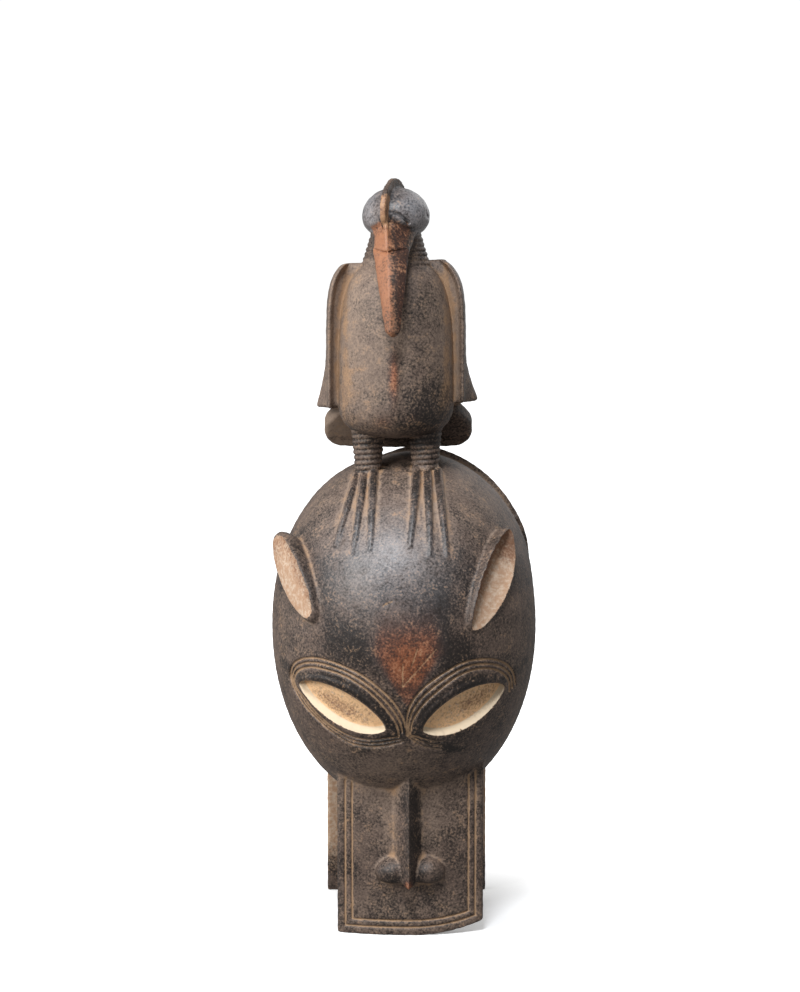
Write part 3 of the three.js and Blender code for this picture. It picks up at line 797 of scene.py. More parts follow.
def beak(x, y, z):
    down, side, back = in_beak(x, y, z)
    width = mix(BEAK["half_width"], BEAK["tip_half"], down)
    width = width * np.sqrt(np.clip((z - BEAK["foot"]) / BEAK_TIP_ROUND, 0.02, 1))
    gauge = np.abs(side / width) ** BEAK_POWER + np.abs(back / (BEAK_DEPTH * width)) ** BEAK_POWER
    around = (gauge ** (1 / BEAK_POWER) - 1) * width * 0.8
    return np.maximum(around, np.maximum(BEAK["foot"] - z, z - BEAK["top"]))


leave(beak, (-30, -92, 517), (10, -28, 597), fillet=1.5)

# The crest: a thin fin from the beak's root over the skull to the nape, with fine slanting cuts
# across it like a comb.
CREST_HALF_THICKNESS = 2.4
CREST_HEIGHT = 8.6
CREST_REACH = 28
CREST_TEETH = 40
CREST_ENDS = (-0.62, 2.65)
COMB_DEPTH = 0.55
COMB_FROM = (0.7, 0.9)


def crest(x, y, z):
    """A fin along the skull's middle, from over the beak to the nape, highest behind the brow."""
    side, out = turned(x, y)
    rise = z - SKULL["centre"][2]
    tall = np.where(rise > 0, SKULL["up"], SKULL["down"])
    angle = np.arctan2(rise / tall, out / SKULL["front"])
    shell = (np.hypot(out / SKULL["front"], rise / tall) - 1) * CREST_REACH
    along = np.clip((angle + math.radians(30)) / math.radians(180), 0, 1)
    height = 1 + CREST_HEIGHT * np.sin(math.pi * np.minimum(0.14 + 0.8 * along, 1)) ** 0.8
    comb = COMB_DEPTH * np.abs(np.sin(CREST_TEETH * angle + 0.35 * shell)) * ramp(angle, *COMB_FROM)
    fin = overlap(shell - height + comb, np.abs(side) - CREST_HALF_THICKNESS + comb, 1.2)
    ends = np.maximum(CREST_ENDS[0] - angle, angle - CREST_ENDS[1]) * 26
    return np.maximum(fin, ends)


leave(crest, (-40, -62, 600), (28, 34, 659), fillet=1)

# The bird's eyes and brows: a ring is cut round each eye, a curved notch under each brow, and a fine
# line where the face ends and the beak begins.


def ring_cut(centre, way, radius, thickness):
    """A round groove about a centre, square to a way."""
    centre, way = Vector(centre), Vector(way).normalized()

    def form(x, y, z):
        dx, dy, dz = x - centre.x, y - centre.y, z - centre.z
        out = dx * way.x + dy * way.y + dz * way.z
        across = np.sqrt(np.maximum(dx * dx + dy * dy + dz * dz - out * out, 0))
        return np.hypot(across - radius, out) - thickness
    return form


for hand in (-1, 1):
    side, out, eye_z = BIRD_EYE_SPOT
    centre = Vector(from_bird(hand * side, out, eye_z))
    way = centre - Vector(from_bird(0, 0, SKULL["centre"][2]))
    take(ring_cut(centre, way, BIRD_EYE_RADIUS, BIRD_EYE_CUT), *cube_about(centre, 9), edge=0.4)
    leave_bars([from_bird(hand * side, out, z) for side, out, z in BROW_NOTCH], NOTCH_RADII, 0.4, cut=True)
leave_bars([from_bird(*spot) for spot in FACE_LINE], FACE_LINE_RADII, 0.4, cut=True)

# The adze: the whole surface is a little uneven, as a hand-cut one is.
ADZE_DEPTH = 0.17
ADZE_WAVES = (0.56, 0.50)


def adze(x, y, z):
    """Two trains of shallow waves that cross."""
    across = np.sin(ADZE_WAVES[0] * (x + 0.5 * y) + 0.2 * z)
    upward = np.sin(ADZE_WAVES[1] * (z - 0.6 * y) - 0.17 * x)
    return ADZE_DEPTH * across * upward


cells, block_places = region(BLOCK_LOW, BLOCK_HIGH)
wood[cells] += adze(*block_places)

# The surface: the lattice is turned into one closed skin, and thinned where the wood is plain.
MOST_TRIANGLES = 196000

skin_field = openvdb.FloatGrid(NARROW_BAND)
skin_field.copyFromArray(np.clip(wood, -NARROW_BAND, NARROW_BAND))
points, quads = skin_field.convertToQuads(isovalue=0.0)
points = (points * STEP + np.array(BLOCK_LOW)) * 0.001

mesh = bpy.data.meshes.new("kagba_mask")
mesh.vertices.add(len(points))
mesh.vertices.foreach_set("co", points.astype(np.float32).ravel())
mesh.loops.add(quads.size)
mesh.loops.foreach_set("vertex_index", quads.astype(np.int32).ravel())
mesh.polygons.add(len(quads))
mesh.polygons.foreach_set("loop_start", np.arange(0, quads.size, 4, dtype=np.int32))
mesh.update(calc_edges=True)
mesh.validate()
mask = bpy.data.objects.new("kagba_mask", mesh)
bpy.context.collection.objects.link(mask)

thin = mask.modifiers.new("thin", "DECIMATE")
thin.ratio = min(MOST_TRIANGLES / (2 * len(quads)), 1)
thin.use_collapse_triangulate = True
bpy.context.view_layer.objects.active = mask
bpy.ops.object.modifier_apply(modifier="thin")
mesh = mask.data
mesh.polygons.foreach_set("use_smooth", np.ones(len(mesh.polygons), bool))

# The skin's places: dust settles where the skin lies deep in a cut or a hollow, and hands rub it where
# it stands on an edge. Both are told by how full of wood the room about each point is.
count = len(mesh.vertices)
places = np.empty(count * 3, np.float32)
mesh.vertices.foreach_get("co", places)
places = places.reshape(-1, 3) * 1000
ways = np.empty(count * 3, np.float32)
mesh.vertices.foreach_get("normal", ways)
ways = ways.reshape(-1, 3)
px, py, pz = places.T
FRONT_WAY = (0.3, -0.2)
SPOT_WAY = (0.25, -0.15)
front = ramp(ways[:, 1], *FRONT_WAY)


def blurred(field, reach):
    """The field averaged over a box that reaches the given number of cells each way, twice over."""
    for axis in (0, 1, 2) * 2:
        span = 2 * reach + 1
        pad = [(0, 0)] * 3
        pad[axis] = (reach + 1, reach)
        total = np.cumsum(np.pad(field, pad, mode="edge"), axis=axis, dtype=np.float32)
        upper = np.take(total, range(span, total.shape[axis]), axis=axis)
        lower = np.take(total, range(0, total.shape[axis] - span), axis=axis)
        field = (upper - lower) / span
    return field


def sampled(field, spacing):
    """A field's value at each point of the skin."""
    spots = (places - np.array(BLOCK_LOW)) / spacing
    base = np.clip(spots.astype(int), 0, np.array(field.shape) - 2)
    share = np.clip(spots - base, 0, 1)
    value = 0
    for corner in range(8):
        step = [(corner >> axis) & 1 for axis in range(3)]
        weight = np.prod([share[:, a] if step[a] else 1 - share[:, a] for a in range(3)], axis=0)
        value = value + weight * field[tuple(base[:, a] + step[a] for a in range(3))]
    return value


def spot(x, z, wide, tall, turn=0.0):
    """A soft patch on the front of the mask, 1 at its middle."""
    angle = math.radians(turn)
    dx, dz = px - x, pz - z
    along = dx * math.cos(angle) + dz * math.sin(angle)
    over = dz * math.cos(angle) - dx * math.sin(angle)
    return np.exp(-((along / wide) ** 2 + (over / tall) ** 2)) * ramp(ways[:, 1], *SPOT_WAY)


def soft_spots(rows):
    """Soft patches added up, each given by its strength, then its place and its size."""
    return sum(strength * spot(*patch) for strength, *patch in rows)


def between(value, low, high):
    """True where a value lies between two others."""
    return (value > low) & (value < high)


COARSE = max(int(2 / STEP), 1)
NEAR_CELLS = 1
FAR_CELLS = 4
CUT_FILL = (0.53, 0.68)
EDGE_FILL = (0.45, 0.30)
RECESS_FILL = (0.53, 0.72)
filled = (np.clip(0.5 - wood / (2 * STEP), 0, 1))[::COARSE, ::COARSE, ::COARSE]
near_fill = sampled(blurred(filled, NEAR_CELLS), COARSE * STEP)
far_fill = sampled(blurred(filled, FAR_CELLS), COARSE * STEP)
cut_in = ramp(near_fill, *CUT_FILL)
edge = ramp(near_fill, *EDGE_FILL)
recess = ramp(far_fill, *RECESS_FILL)

# The kaolin's places: white clay fills the eyes and the ears, and is rubbed thin on the back plate's
# front. It is soiled in the eyes' middles and toward the ears' tips. Beside each ear's tall wall it is
# darkened as a painted shadow cast by the wall.
EYE_STAINS = [(0.66, -56, 210, 28, 9, -25), (0.60, 60, 214, 28, 9, 26)]
EAR_STAINS_AND_SHADOWS = [{"by_wall": 0.5, "at_tip": 0.5}, {"by_wall": 1.0, "at_tip": 0.8}]
JAW_WHITE = (0.3, 0.95)
EYES_ZONE = (170, 245)
BACK_PLATE_TOP = 126

eye_floor = eye_band = stain_and_shadow = 0
for eye, (strength, *patch) in zip(EYES, EYE_STAINS):
    under, over = eye_edges(eye, px, pz)
    facing = front * (py < -40) * between(pz, *EYES_ZONE)
    whole = ramp(np.minimum(under - 0.8, over), -0.2, 0.8) * facing
    # The lower bevel faces up; its lighter cream is kaolin, painted lighter as painted light.
    bevel = ramp(EYE_BEVEL + 0.3 - over, -0.4, 0.6) * ramp(over, -0.3, 0.5) * whole
    eye_floor = np.maximum(eye_floor, whole)
    eye_band = np.maximum(eye_band, bevel)
    stain_and_shadow = np.maximum(stain_and_shadow, strength * spot(*patch) * whole * ramp(over, EYE_BEVEL, EYE_BEVEL + 3))
ear_white = 0
for ear, soiled_and_shaded in zip(EARS, EAR_STAINS_AND_SHADOWS):
    share, crownward, out = in_ear(ear, px, py, pz)
    inside = ramp(np.abs(ear_scoop(ear)(px, py, pz)), 1.3, 0.4) * (ear_leaf(ear)(px, py, pz) < -0.6)
    # Painted shadow: the kaolin is darkened beside the tall wall, where the wall's shadow falls.
    by_wall = soiled_and_shaded["by_wall"] * ramp(crownward / ear["width"], -0.1, 0.45)
    at_tip = soiled_and_shaded["at_tip"] * ramp(share, 0.1, 0.8)
    ear_white = np.maximum(ear_white, inside)
    stain_and_shadow = np.maximum(stain_and_shadow, inside * np.maximum(by_wall, at_tip))
back_face = plate_face(BACK_PLATE, px)
on_back_plate = between(py, back_face - 3, back_face + 3.2) * (pz < BACK_PLATE_TOP)
jaw_white = mix(*JAW_WHITE, ramp(pz, 5, 90)) * on_back_plate

# The worn wood's places: the dark coat is rubbed through to red-brown in a diamond on the brow, along
# the keel and at the nose's tip, and to bare wood on the bird's face and beak. That bare wood is laid
# on their left as painted light, and their right halves are painted dark red-brown as painted shade.
DIAMOND_X = 2.5
DIAMOND_HEIGHTS = (212, 259, 300, 325)
DIAMOND_HALF_WIDTHS = (1.5, 33, 28, 20)
DIAMOND_FOOT = (209, 216)
DIAMOND_TOP = (336, 308)
DIAMOND_FADES = (305, 268)
DIAMOND_CORE = (4, 250, 27)
FACE_MEETS_BEAK = 592
KEEL_SPOTS = [(1.2, -9, 486, 5.5, 27), (0.7, -19, 447, 10, 7), (0.4, 6, 450, 8, 6)]
NOSE_TIP = (4, -72, 47)
NOSE_TIP_SPREAD = 45
SHINE_SPOT = (-13, 332, 46, 38)

half = np.interp(pz, DIAMOND_HEIGHTS, DIAMOND_HALF_WIDTHS)
diamond = ramp(np.abs(px - DIAMOND_X) / half, 1.2, 0.65) * ramp(pz, *DIAMOND_FOOT) * ramp(pz, *DIAMOND_TOP)
core_x, core_z, core_reach = DIAMOND_CORE
core = np.exp(-((px - core_x) / core_reach) ** 2 - ((pz - core_z) / core_reach) ** 2)
diamond = diamond * mix(0.4, 1, ramp(pz, *DIAMOND_FADES)) * mix(0.6, 1, core) * front

face_side, face_out = turned(px, py)
off_middle = face_side - mix(0, 5, ramp(pz, 622, 592))
down_face = ramp(pz, 622, 596)
face_front = ramp(np.abs(off_middle), mix(21, 16, down_face), mix(18, 13, down_face)) * (face_out > 18)
face_near = ramp(bird_face(px, py, pz), 5, 2.5) * ramp(pz, 627, 620) * face_front
face_only = face_near * (pz > FACE_MEETS_BEAK - 1)
beak_only = ramp(beak(px, py, pz), 1.5, 0.2) * (pz < FACE_MEETS_BEAK + 1)
off_beak = in_beak(px, py, pz)[1]
# Painted light and shade on the bird's face and beak: the bare wood is kept to the lit left, and the right
# is darkened as painted shade.
bare_face_and_lit_side = face_only * (1 - 0.8 * ramp(off_middle, -1, 8)) * mix(0.65, 1, ramp(pz, 622, 606))
bare_beak_and_lit_side = beak_only * (1 - 0.8 * ramp(off_beak, -1, 7)) * mix(0.75, 1, ramp(pz, 522, 545))
warm = np.maximum(bare_face_and_lit_side, bare_beak_and_lit_side)
bird_shaded_side = np.maximum(face_only * ramp(off_middle, 1, 8), beak_only * ramp(off_beak, 1, 7))
crest_gold = (np.abs(off_middle) < 2.7) * ramp(face_out, 26, 31) * ramp(pz, 641, 636) * ramp(pz, 604, 614)

from_tip = sum((place - tip) ** 2 for place, tip in zip((px, py, pz), NOSE_TIP))
nose_worn = 1.6 * np.exp(-from_tip / NOSE_TIP_SPREAD)
# Besides the real wear, this takes in the painted shade on the right of the bird's face and beak.
worn_and_shade = np.clip(diamond + 0.8 * soft_spots(KEEL_SPOTS) + nose_worn + 0.55 * bird_shaded_side, 0, 1)
# The polish: a spot on the brow and the bird's skull are made glossier, and a grey sheen is painted on them
# as a painted highlight where the lamps reflect.
skull_near = ramp(skull(px, py, pz), 2, 0.5) * (pz > 600)
skull_shine = skull_near * (1 - face_near) * mix(0.45, 1, ramp(np.abs(off_middle), 6, 20))
polish_and_sheen = np.clip(0.75 * spot(*SHINE_SPOT) + skull_shine + 0.3 * diamond, 0, 1)

# The dust's places: tan earth lies in the cuts, between the toes, over the crown and cheeks, beside
# the nose, and on the bird's breast, wings and tail, where it yellows. It is laid thicker as painted light
# in the right wing's trough, on the tail's left lobe and on the chin. It is kept off the worn and polished
# parts, the bird's face and beak, and the legs' grooves, where shade is painted.
DUST = {
    "cuts": 0.75, "recesses": 0.12, "crown": 0.28, "between toes": 0.2, "flanks": 0.14, "seams": 0.28,
    "tail": 0.5, "beside nose": 0.26, "plate's top": 0.2, "plate's foot": 0.25, "cheeks": 0.22,
    "chin": 0.42, "scratches": 0.68,
}
BREAST_DUST = (0.43, 0.26)
TROUGH_DUST_AND_LIGHT = (0.1, 0.6)
BIRD_DUST_MOST = 0.6
TOES_ZONE = (337, 404)
BREAST_ZONE = (430, 585)
WING_ZONE = (458, 582)
WING_SEAM = 43
CHEEKS_ZONE = (130, 300)
BROW_ZONE = (168, 256)
PLATE_TOP = 140
SCRATCHES_TOP = 306
JAW_DUST_SPOTS = [(1.0, -14, 92, 9, 36), (1.0, 25, 95, 9, 36), (0.5, 4, 60, 42, 18)]
CHIN_DUST_AND_LIGHT_SPOT = (-20, 152, 70, 26)
CLEAN_BELLY_SPOT = (22, 452, 26, 28)
FADED_LINES_SPOT = (40, 176, 22, 9)
LINE_FILL = (1.2, 0.35)
SCRATCH_FILL = (0.8, 0.2)
NECK_FOOT = 570

toe_away = 1e3
for start_x, start_z, end_x, end_z in TOES:
    toe_away = np.minimum(toe_away, distance_to_line(px, pz, [(start_x, start_z), (end_x, end_z)]))
on_crown = front * between(pz, *TOES_ZONE) * (py < 30)
toe_top = ramp(toe_away, 3.4, 1.8) * on_crown
toe_valley = ramp(toe_away, 9, 5) * (1 - toe_top) * on_crown
crown_dust = DUST["crown"] * ramp(pz, 318, 372) * (pz < 425) * front + DUST["between toes"] * toe_valley

off_side = np.abs(px - BIRD_X)
to_right = ramp(px, -10, 10)
wing_reach = wing_half_width(pz)
wing_zone = between(pz, *WING_ZONE) * (py < 0) * front
trough = ramp(off_side, 41, 45) * (1 - ramp(off_side, wing_reach - 8, wing_reach - 5)) * wing_zone
seam = np.exp(-((off_side - WING_SEAM) / 2.6) ** 2) * wing_zone
flank = ramp(off_side, 22, 40) * (off_side < 46) * ramp(pz, 432, 450) * (pz < WING_ZONE[1]) * front
breast_dust = mix(*BREAST_DUST, to_right) * mix(0.75, 1, ramp(pz, 440, 500))
breast_dust = breast_dust * between(pz, *BREAST_ZONE) * front
bird_dust = breast_dust + DUST["flanks"] * flank + DUST["seams"] * seam
# The right wing's trough takes far more dust than the left, as painted light where it faces the key light.
bird_dust = bird_dust + trough * mix(*TROUGH_DUST_AND_LIGHT, to_right)
on_tail = ramp(tail(px, py, pz), 1.5, 0.3) * (pz < 456) * ramp(off_side, 28, 34)
# Dust on the tail's left lobe only, laid as painted light where the lobe is lit.
tail_dust_and_light = DUST["tail"] * on_tail * front * ramp(px, BIRD_X, BIRD_X - 30)
bird_dust = np.minimum(bird_dust, BIRD_DUST_MOST) + tail_dust_and_light

# The grooves between the legs' rings: shade is painted dark in them, and dust is kept out.
rings = 0
for leg_x, leg_y in LEGS:
    on_leg = ramp(np.hypot(px - leg_x, py - leg_y), 20, 18) * ramp(pz, 399, 402) * ramp(pz, 443, 440)
    climb = (pz - LEG_SLANT * (px - leg_x) - LEG_LOW) / (LEG_HIGH - LEG_LOW)
    rings = np.maximum(rings, on_leg * (1 - np.abs(np.sin(math.pi * LEG_RINGS * climb)) ** 0.8))
on_plate = (ways[:, 1] < -0.3) * between(py, -56, -30) * (pz < PLATE_TOP)
plate_dust = DUST["plate's top"] * ramp(pz, 60, 120) + DUST["plate's foot"] * ramp(pz, 60, 15)
jaw_dust = DUST["beside nose"] * soft_spots(JAW_DUST_SPOTS) * between(py, -58, -30)
cheek_dust = DUST["cheeks"] * ramp(np.abs(px), 60, 100) * between(pz, *CHEEKS_ZONE)
# On the chin the dust is laid thicker, as painted light that the floor would bounce up under the head.
cheek_dust = (cheek_dust + DUST["chin"] * spot(*CHIN_DUST_AND_LIGHT_SPOT)) * front
groove_dust = DUST["cuts"] * cut_in * (1 - rings) * (1 - 0.9 * (pz > NECK_FOOT))
dust = groove_dust + DUST["recesses"] * recess + crown_dust + bird_dust + jaw_dust
dust = dust + on_plate * plate_dust + cheek_dust - 0.5 * toe_top
clean = np.maximum(np.maximum(warm, bird_shaded_side), rings)
dust = dust * (1 - 0.75 * worn_and_shade) * (1 - 0.55 * spot(*CLEAN_BELLY_SPOT) * (pz > 428))
dust = np.clip(dust * (1 - 0.7 * polish_and_sheen) * (1 - 0.8 * clean), 0, 1)
ochre = np.clip(0.8 * recess + 0.7 * seam + 0.6 * flank * ramp(pz, 530, 450) + 0.4 * toe_valley, 0, 1)

on_face = front * (py < -35) * between(pz, *BROW_ZONE)
brow_dust = ramp(brow_distance(px, pz), *LINE_FILL) * on_face * (1 - 0.55 * spot(*FADED_LINES_SPOT))
brow_dust = brow_dust * (1 - np.clip(eye_floor, 0, 1)) * mix(1, 0.45, ramp(pz, 187, 180))
brow_dust = brow_dust * (1 - ramp(px, 14, 32) * (pz < 187))
border_dust = ramp(border_distance(px, pz), *LINE_FILL) * on_plate
scratch_dust = DUST["scratches"] * ramp(scratch_distance(px, pz), *SCRATCH_FILL) * front
line_dust = brow_dust + border_dust + scratch_dust * (pz < SCRATCHES_TOP)

# The darkest places: darker wood on the lids over the eyes, the brow beside the diamond, the plate's
# foot, the toes' tops and the bird's belly, and painted shade on the nose's right flank, on the bird's
# shaded right side and in the cuts of its legs, neck and head.
DARK_SPOTS = [
    (1.0, 27, 305, 15, 26),
    (0.8, 38, 262, 22, 22),
    (0.8, -45, 262, 26, 16),
    (0.6, 18, 470, 24, 26),
    (0.5, 22, 450, 22, 26),
]
NOSE_SHADE_SPOT = (10, 95, 8, 50)
PLATE_FOOT_SPOT = (5, 20, 60, 16)
DARK = {"toes' tops": 0.4, "lids": 0.9, "plate's foot": 0.5, "shade in bird's cuts": 0.8}

lids = 0
for eye in EYES:
    under, over = eye_edges(eye, px, pz)
    lids = np.maximum(lids, ramp(-under, 0.2, 1.5) * (1 - ramp(-under, 8, 11)) * ramp(over, -3, 6))
dark = soft_spots(DARK_SPOTS) + DARK["toes' tops"] * toe_top + rings + bird_shaded_side
# Painted shade on the nose's right flank, which faces away from the key light.
dark = dark + DARK["lids"] * lids * on_face * (1 - line_dust) + spot(*NOSE_SHADE_SPOT) * (py < -50)
dark = dark + DARK["plate's foot"] * spot(*PLATE_FOOT_SPOT) * (py < -30)
# Painted shade in the cuts of the bird's neck and head.
dark = dark + DARK["shade in bird's cuts"] * cut_in * (pz > NECK_FOOT)

raw = ramp(head_egg(px, py, pz), -WALL / 2 + 2, -WALL / 2 - 2) * (head_egg(px, py, pz, -WALL) > -6)
measures = {
    "dust": dust,
    "ochre": ochre,
    "worn_and_shade": worn_and_shade,
    "edge": edge,
    "polish_and_sheen": polish_and_sheen,
    "eye_floor": eye_floor,
    "eye_band": eye_band,
    "dark": dark,
    "ear_white": ear_white,
    "jaw_white": jaw_white,
    "stain_and_shadow": stain_and_shadow,
    "warm": warm + 0.9 * crest_gold,
    "line_dust": np.maximum(line_dust, 0.6 * crest_gold),
    "raw": raw,
}
for name, values in measures.items():
    layer = mesh.attributes.new(name, "FLOAT", "POINT")
    layer.data.foreach_set("value", np.clip(values, 0, 1).astype(np.float32))

# The finish: dark wood under a speckled patina, with tan dust in the cuts, red-brown wood where hands
# have worn it, a soft polish on the brow and the bird's skull under a painted grey sheen, and kaolin in
# the eyes and ears. Light and shade are painted in as well: a highlight on the brow and skull, the lit
# and shaded halves of the bird's face and beak, shadows in the ears, shade in the grooves, and lighter
# dust on lit parts.
DARK_WOOD = (0.0125, 0.0085, 0.0070, 1)
BROWN_WOOD = (0.108, 0.074, 0.058, 1)
WARM_WOOD = (0.32, 0.132, 0.064, 1)
GREY_DUST = (0.30, 0.22, 0.165, 1)
TAN_DUST = (0.36, 0.225, 0.125, 1)
OCHRE_DUST = (0.36, 0.215, 0.115, 1)
DEEP_RED = (0.055, 0.022, 0.014, 1)
RED_WOOD = (0.24, 0.074, 0.028, 1)
LIT_CREAM = (0.66, 0.55, 0.40, 1)
KAOLIN = (0.56, 0.43, 0.32, 1)
KAOLIN_TAN = (0.42, 0.26, 0.165, 1)
EYE_TAN = (0.86, 0.55, 0.30, 1)
PAINTED_SHEEN_GREY = (0.40, 0.41, 0.44, 1)
KAOLIN_STAIN_AND_SHADOW = (0.17, 0.078, 0.042, 1)
RAW_WOOD = (0.11, 0.075, 0.052, 1)
COATS = {
    "gouged wood": 0.8, "thin dust": 0.4, "worn wood and shade": 0.95, "glints": 0.28, "rubbed edges": 0.45,
    "dust": 0.8, "bare wood and lit side": 0.95, "polish_and_sheen": 0.48, "lines": 0.75, "soil_and_shadow": 0.85, "cream": 0.9,
}
GLOSS = 0.4
BUMP_STRENGTH = 0.42
BUMP_HEIGHT = 0.0008

finish = bpy.data.materials.new("patinated_wood")
finish.use_nodes = True
nodes, links = finish.node_tree.nodes, finish.node_tree.links
nodes.clear()
output = nodes.new("ShaderNodeOutputMaterial")
shader = nodes.new("ShaderNodeBsdfPrincipled")
links.new(shader.outputs["BSDF"], output.inputs["Surface"])
spots_of = nodes.new("ShaderNodeTexCoord").outputs["Object"]


def measure(name):
    node = nodes.new("ShaderNodeAttribute")
    node.attribute_name = name
    return node.outputs["Fac"]


def feed(socket, value):
    if isinstance(value, (int, float, tuple)):
        socket.default_value = value
    else:
        links.new(value, socket)


def math_of(operation, *values, clamp=False):
    node = nodes.new("ShaderNodeMath")
    node.operation = operation
    node.use_clamp = clamp
    for socket, value in zip(node.inputs, values):
        feed(socket, value)
    return node.outputs[0]


def plus(one, other):
    return math_of("ADD", one, other)


def minus(one, other, clamp=False):
    return math_of("SUBTRACT", one, other, clamp=clamp)


def times(one, other):
    return math_of("MULTIPLY", one, other)


def larger(one, other):
    return math_of("MAXIMUM", one, other)


def blend(share, one, other):
    node = nodes.new("ShaderNodeMix")
    node.data_type = "RGBA"
    feed(node.inputs["Factor"], share)
    feed(node.inputs["A"], one)
    feed(node.inputs["B"], other)
    return node.outputs["Result"]


def climb_between(value, low, high):
    node = nodes.new("ShaderNodeMapRange")
    node.interpolation_type = "SMOOTHSTEP"
    feed(node.inputs["Value"], value)
    node.inputs["From Min"].default_value = low
    node.inputs["From Max"].default_value = high
    return node.outputs["Result"]


def mottle(size, detail=4.0, stretch=(1, 1, 1)):
    """A cloudy pattern whose clouds are about the given number of millimetres across."""
    place = nodes.new("ShaderNodeMapping")
    place.inputs["Scale"].default_value = stretch
    links.new(spots_of, place.inputs["Vector"])
    node = nodes.new("ShaderNodeTexNoise")
    node.inputs["Scale"].default_value = 1000 / size
    node.inputs["Detail"].default_value = detail
    node.inputs["Roughness"].default_value = 0.6
    links.new(place.outputs["Vector"], node.inputs["Vector"])
    return node.outputs["Fac"]


def speckled(share, pattern, softness=0.22, spread=0.9):
    """A measure broken up by a pattern, so that its border is speckled and its middle is whole."""
    lifted = plus(share, times(minus(pattern, 0.5), spread))
    return climb_between(lifted, 0.5 - softness, 0.5 + softness)


def coat(under, over, share, strength):
    """A coat laid over the colour under it, as strong as given where its share is 1."""
    return blend(times(share, strength), under, over)


fine = mottle(1.9, 5)
patches = mottle(11, 5)
broad = mottle(24, 4)
specks = mottle(1.7, 3)
glints = mottle(1.5, 2)
grain = mottle(5, 3, stretch=(1, 1, 0.12))
clouded = plus(times(fine, 0.58), times(patches, 0.42))

# The coats of the finish, from the wood outward: the dark coat, the gouged wood inside, thin dust, the
# worn wood with the bird's painted shade, rubbed edges, thick dust, the bird's bare wood laid as painted
# light, the polish's painted grey sheen, dust in the lines, the kaolin with its painted wall shadows.
depth = plus(times(broad, 0.42), times(fine, 0.58))
depth = plus(minus(depth, times(measure("dark"), 0.13)), times(measure("dust"), 0.17))
colour = blend(climb_between(depth, 0.38, 0.62), DARK_WOOD, BROWN_WOOD)
colour = coat(colour, RAW_WOOD, speckled(measure("raw"), broad), COATS["gouged wood"])
# Thin dust is kept off the darker, polished and worn parts, and off the painted shade.
handled_and_shaded = larger(larger(measure("dark"), measure("polish_and_sheen")), measure("worn_and_shade"))
thin_dust = times(climb_between(specks, 0.55, 0.70), minus(1.0, handled_and_shaded))
colour = coat(colour, GREY_DUST, thin_dust, COATS["thin dust"])
redness = climb_between(plus(measure("worn_and_shade"), times(minus(clouded, 0.5), 4.0)), 0.45, 1.35)
red = blend(redness, DEEP_RED, RED_WOOD)
# Red-brown worn wood, which also paints the shade on the right of the bird's face and beak.
worn_wood_and_shade = speckled(measure("worn_and_shade"), fine, softness=0.45, spread=0.7)
colour = coat(colour, red, worn_wood_and_shade, COATS["worn wood and shade"])
colour = coat(colour, TAN_DUST, times(climb_between(glints, 0.60, 0.68), measure("worn_and_shade")), COATS["glints"])
rubbed = times(climb_between(measure("edge"), 0.45, 1.0), fine)
colour = coat(colour, BROWN_WOOD, rubbed, COATS["rubbed edges"])
yellowed = times(speckled(measure("ochre"), patches, softness=0.45, spread=2.5), 0.85)
earth = blend(yellowed, GREY_DUST, OCHRE_DUST)
colour = coat(colour, earth, speckled(measure("dust"), clouded, softness=0.5, spread=2.3), COATS["dust"])
# Bare wood on the bird's face and beak, laid on their lit left as painted light.
warmth = plus(measure("warm"), times(minus(clouded, 0.5), 3.2))
colour = coat(colour, WARM_WOOD, climb_between(warmth, 0.2, 1.15), COATS["bare wood and lit side"])
painted_sheen_share = times(measure("polish_and_sheen"), minus(1.0, measure("worn_and_shade"), clamp=True))
# Painted highlight: a grey sheen laid over the polished brow and skull.
colour = coat(colour, PAINTED_SHEEN_GREY, times(painted_sheen_share, climb_between(clouded, 0.30, 0.62)), COATS["polish_and_sheen"])
lined = speckled(measure("line_dust"), clouded, softness=0.4, spread=3.2)
colour = coat(colour, TAN_DUST, lined, COATS["lines"])

kaolin = blend(climb_between(mottle(3.4, 8), 0.36, 0.66), KAOLIN_TAN, KAOLIN)
kaolin = blend(times(measure("eye_floor"), climb_between(mottle(3, 4), 0.25, 0.55)), kaolin, EYE_TAN)
kaolin = blend(times(measure("ear_white"), climb_between(mottle(7, 6), 0.46, 0.62)), kaolin, KAOLIN_TAN)
# The soil coat lays the real stains and the painted wall shadows in the ears.
soil_and_shadow = speckled(measure("stain_and_shadow"), fine, softness=0.42, spread=1.8)
kaolin = coat(kaolin, KAOLIN_STAIN_AND_SHADOW, soil_and_shadow, COATS["soil_and_shadow"])
white = larger(larger(measure("eye_floor"), measure("ear_white")), measure("jaw_white"))
colour = blend(speckled(white, fine, softness=0.15, spread=0.5), colour, kaolin)
# Lighter cream on the eyes' lower bevels: kaolin, painted brighter as painted light where the bevel faces
# up.
colour = coat(colour, LIT_CREAM, speckled(measure("eye_band"), fine, softness=0.2, spread=0.8), COATS["cream"])
links.new(colour, shader.inputs["Base Color"])

rough = plus(plus(0.40, times(fine, 0.22)), plus(times(measure("dust"), 0.3), times(white, 0.3)))
rough = minus(rough, times(measure("polish_and_sheen"), 0.22), clamp=True)
links.new(rough, shader.inputs["Roughness"])
shader.inputs["Specular IOR Level"].default_value = GLOSS

bump = nodes.new("ShaderNodeBump")
bump.inputs["Strength"].default_value = BUMP_STRENGTH
bump.inputs["Distance"].default_value = BUMP_HEIGHT
links.new(plus(times(fine, 0.7), times(grain, 0.5)), bump.inputs["Height"])
links.new(bump.outputs["Normal"], shader.inputs["Normal"])
mesh.materials.append(finish)

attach(mask, "root")
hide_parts("kagba_mask_carving")

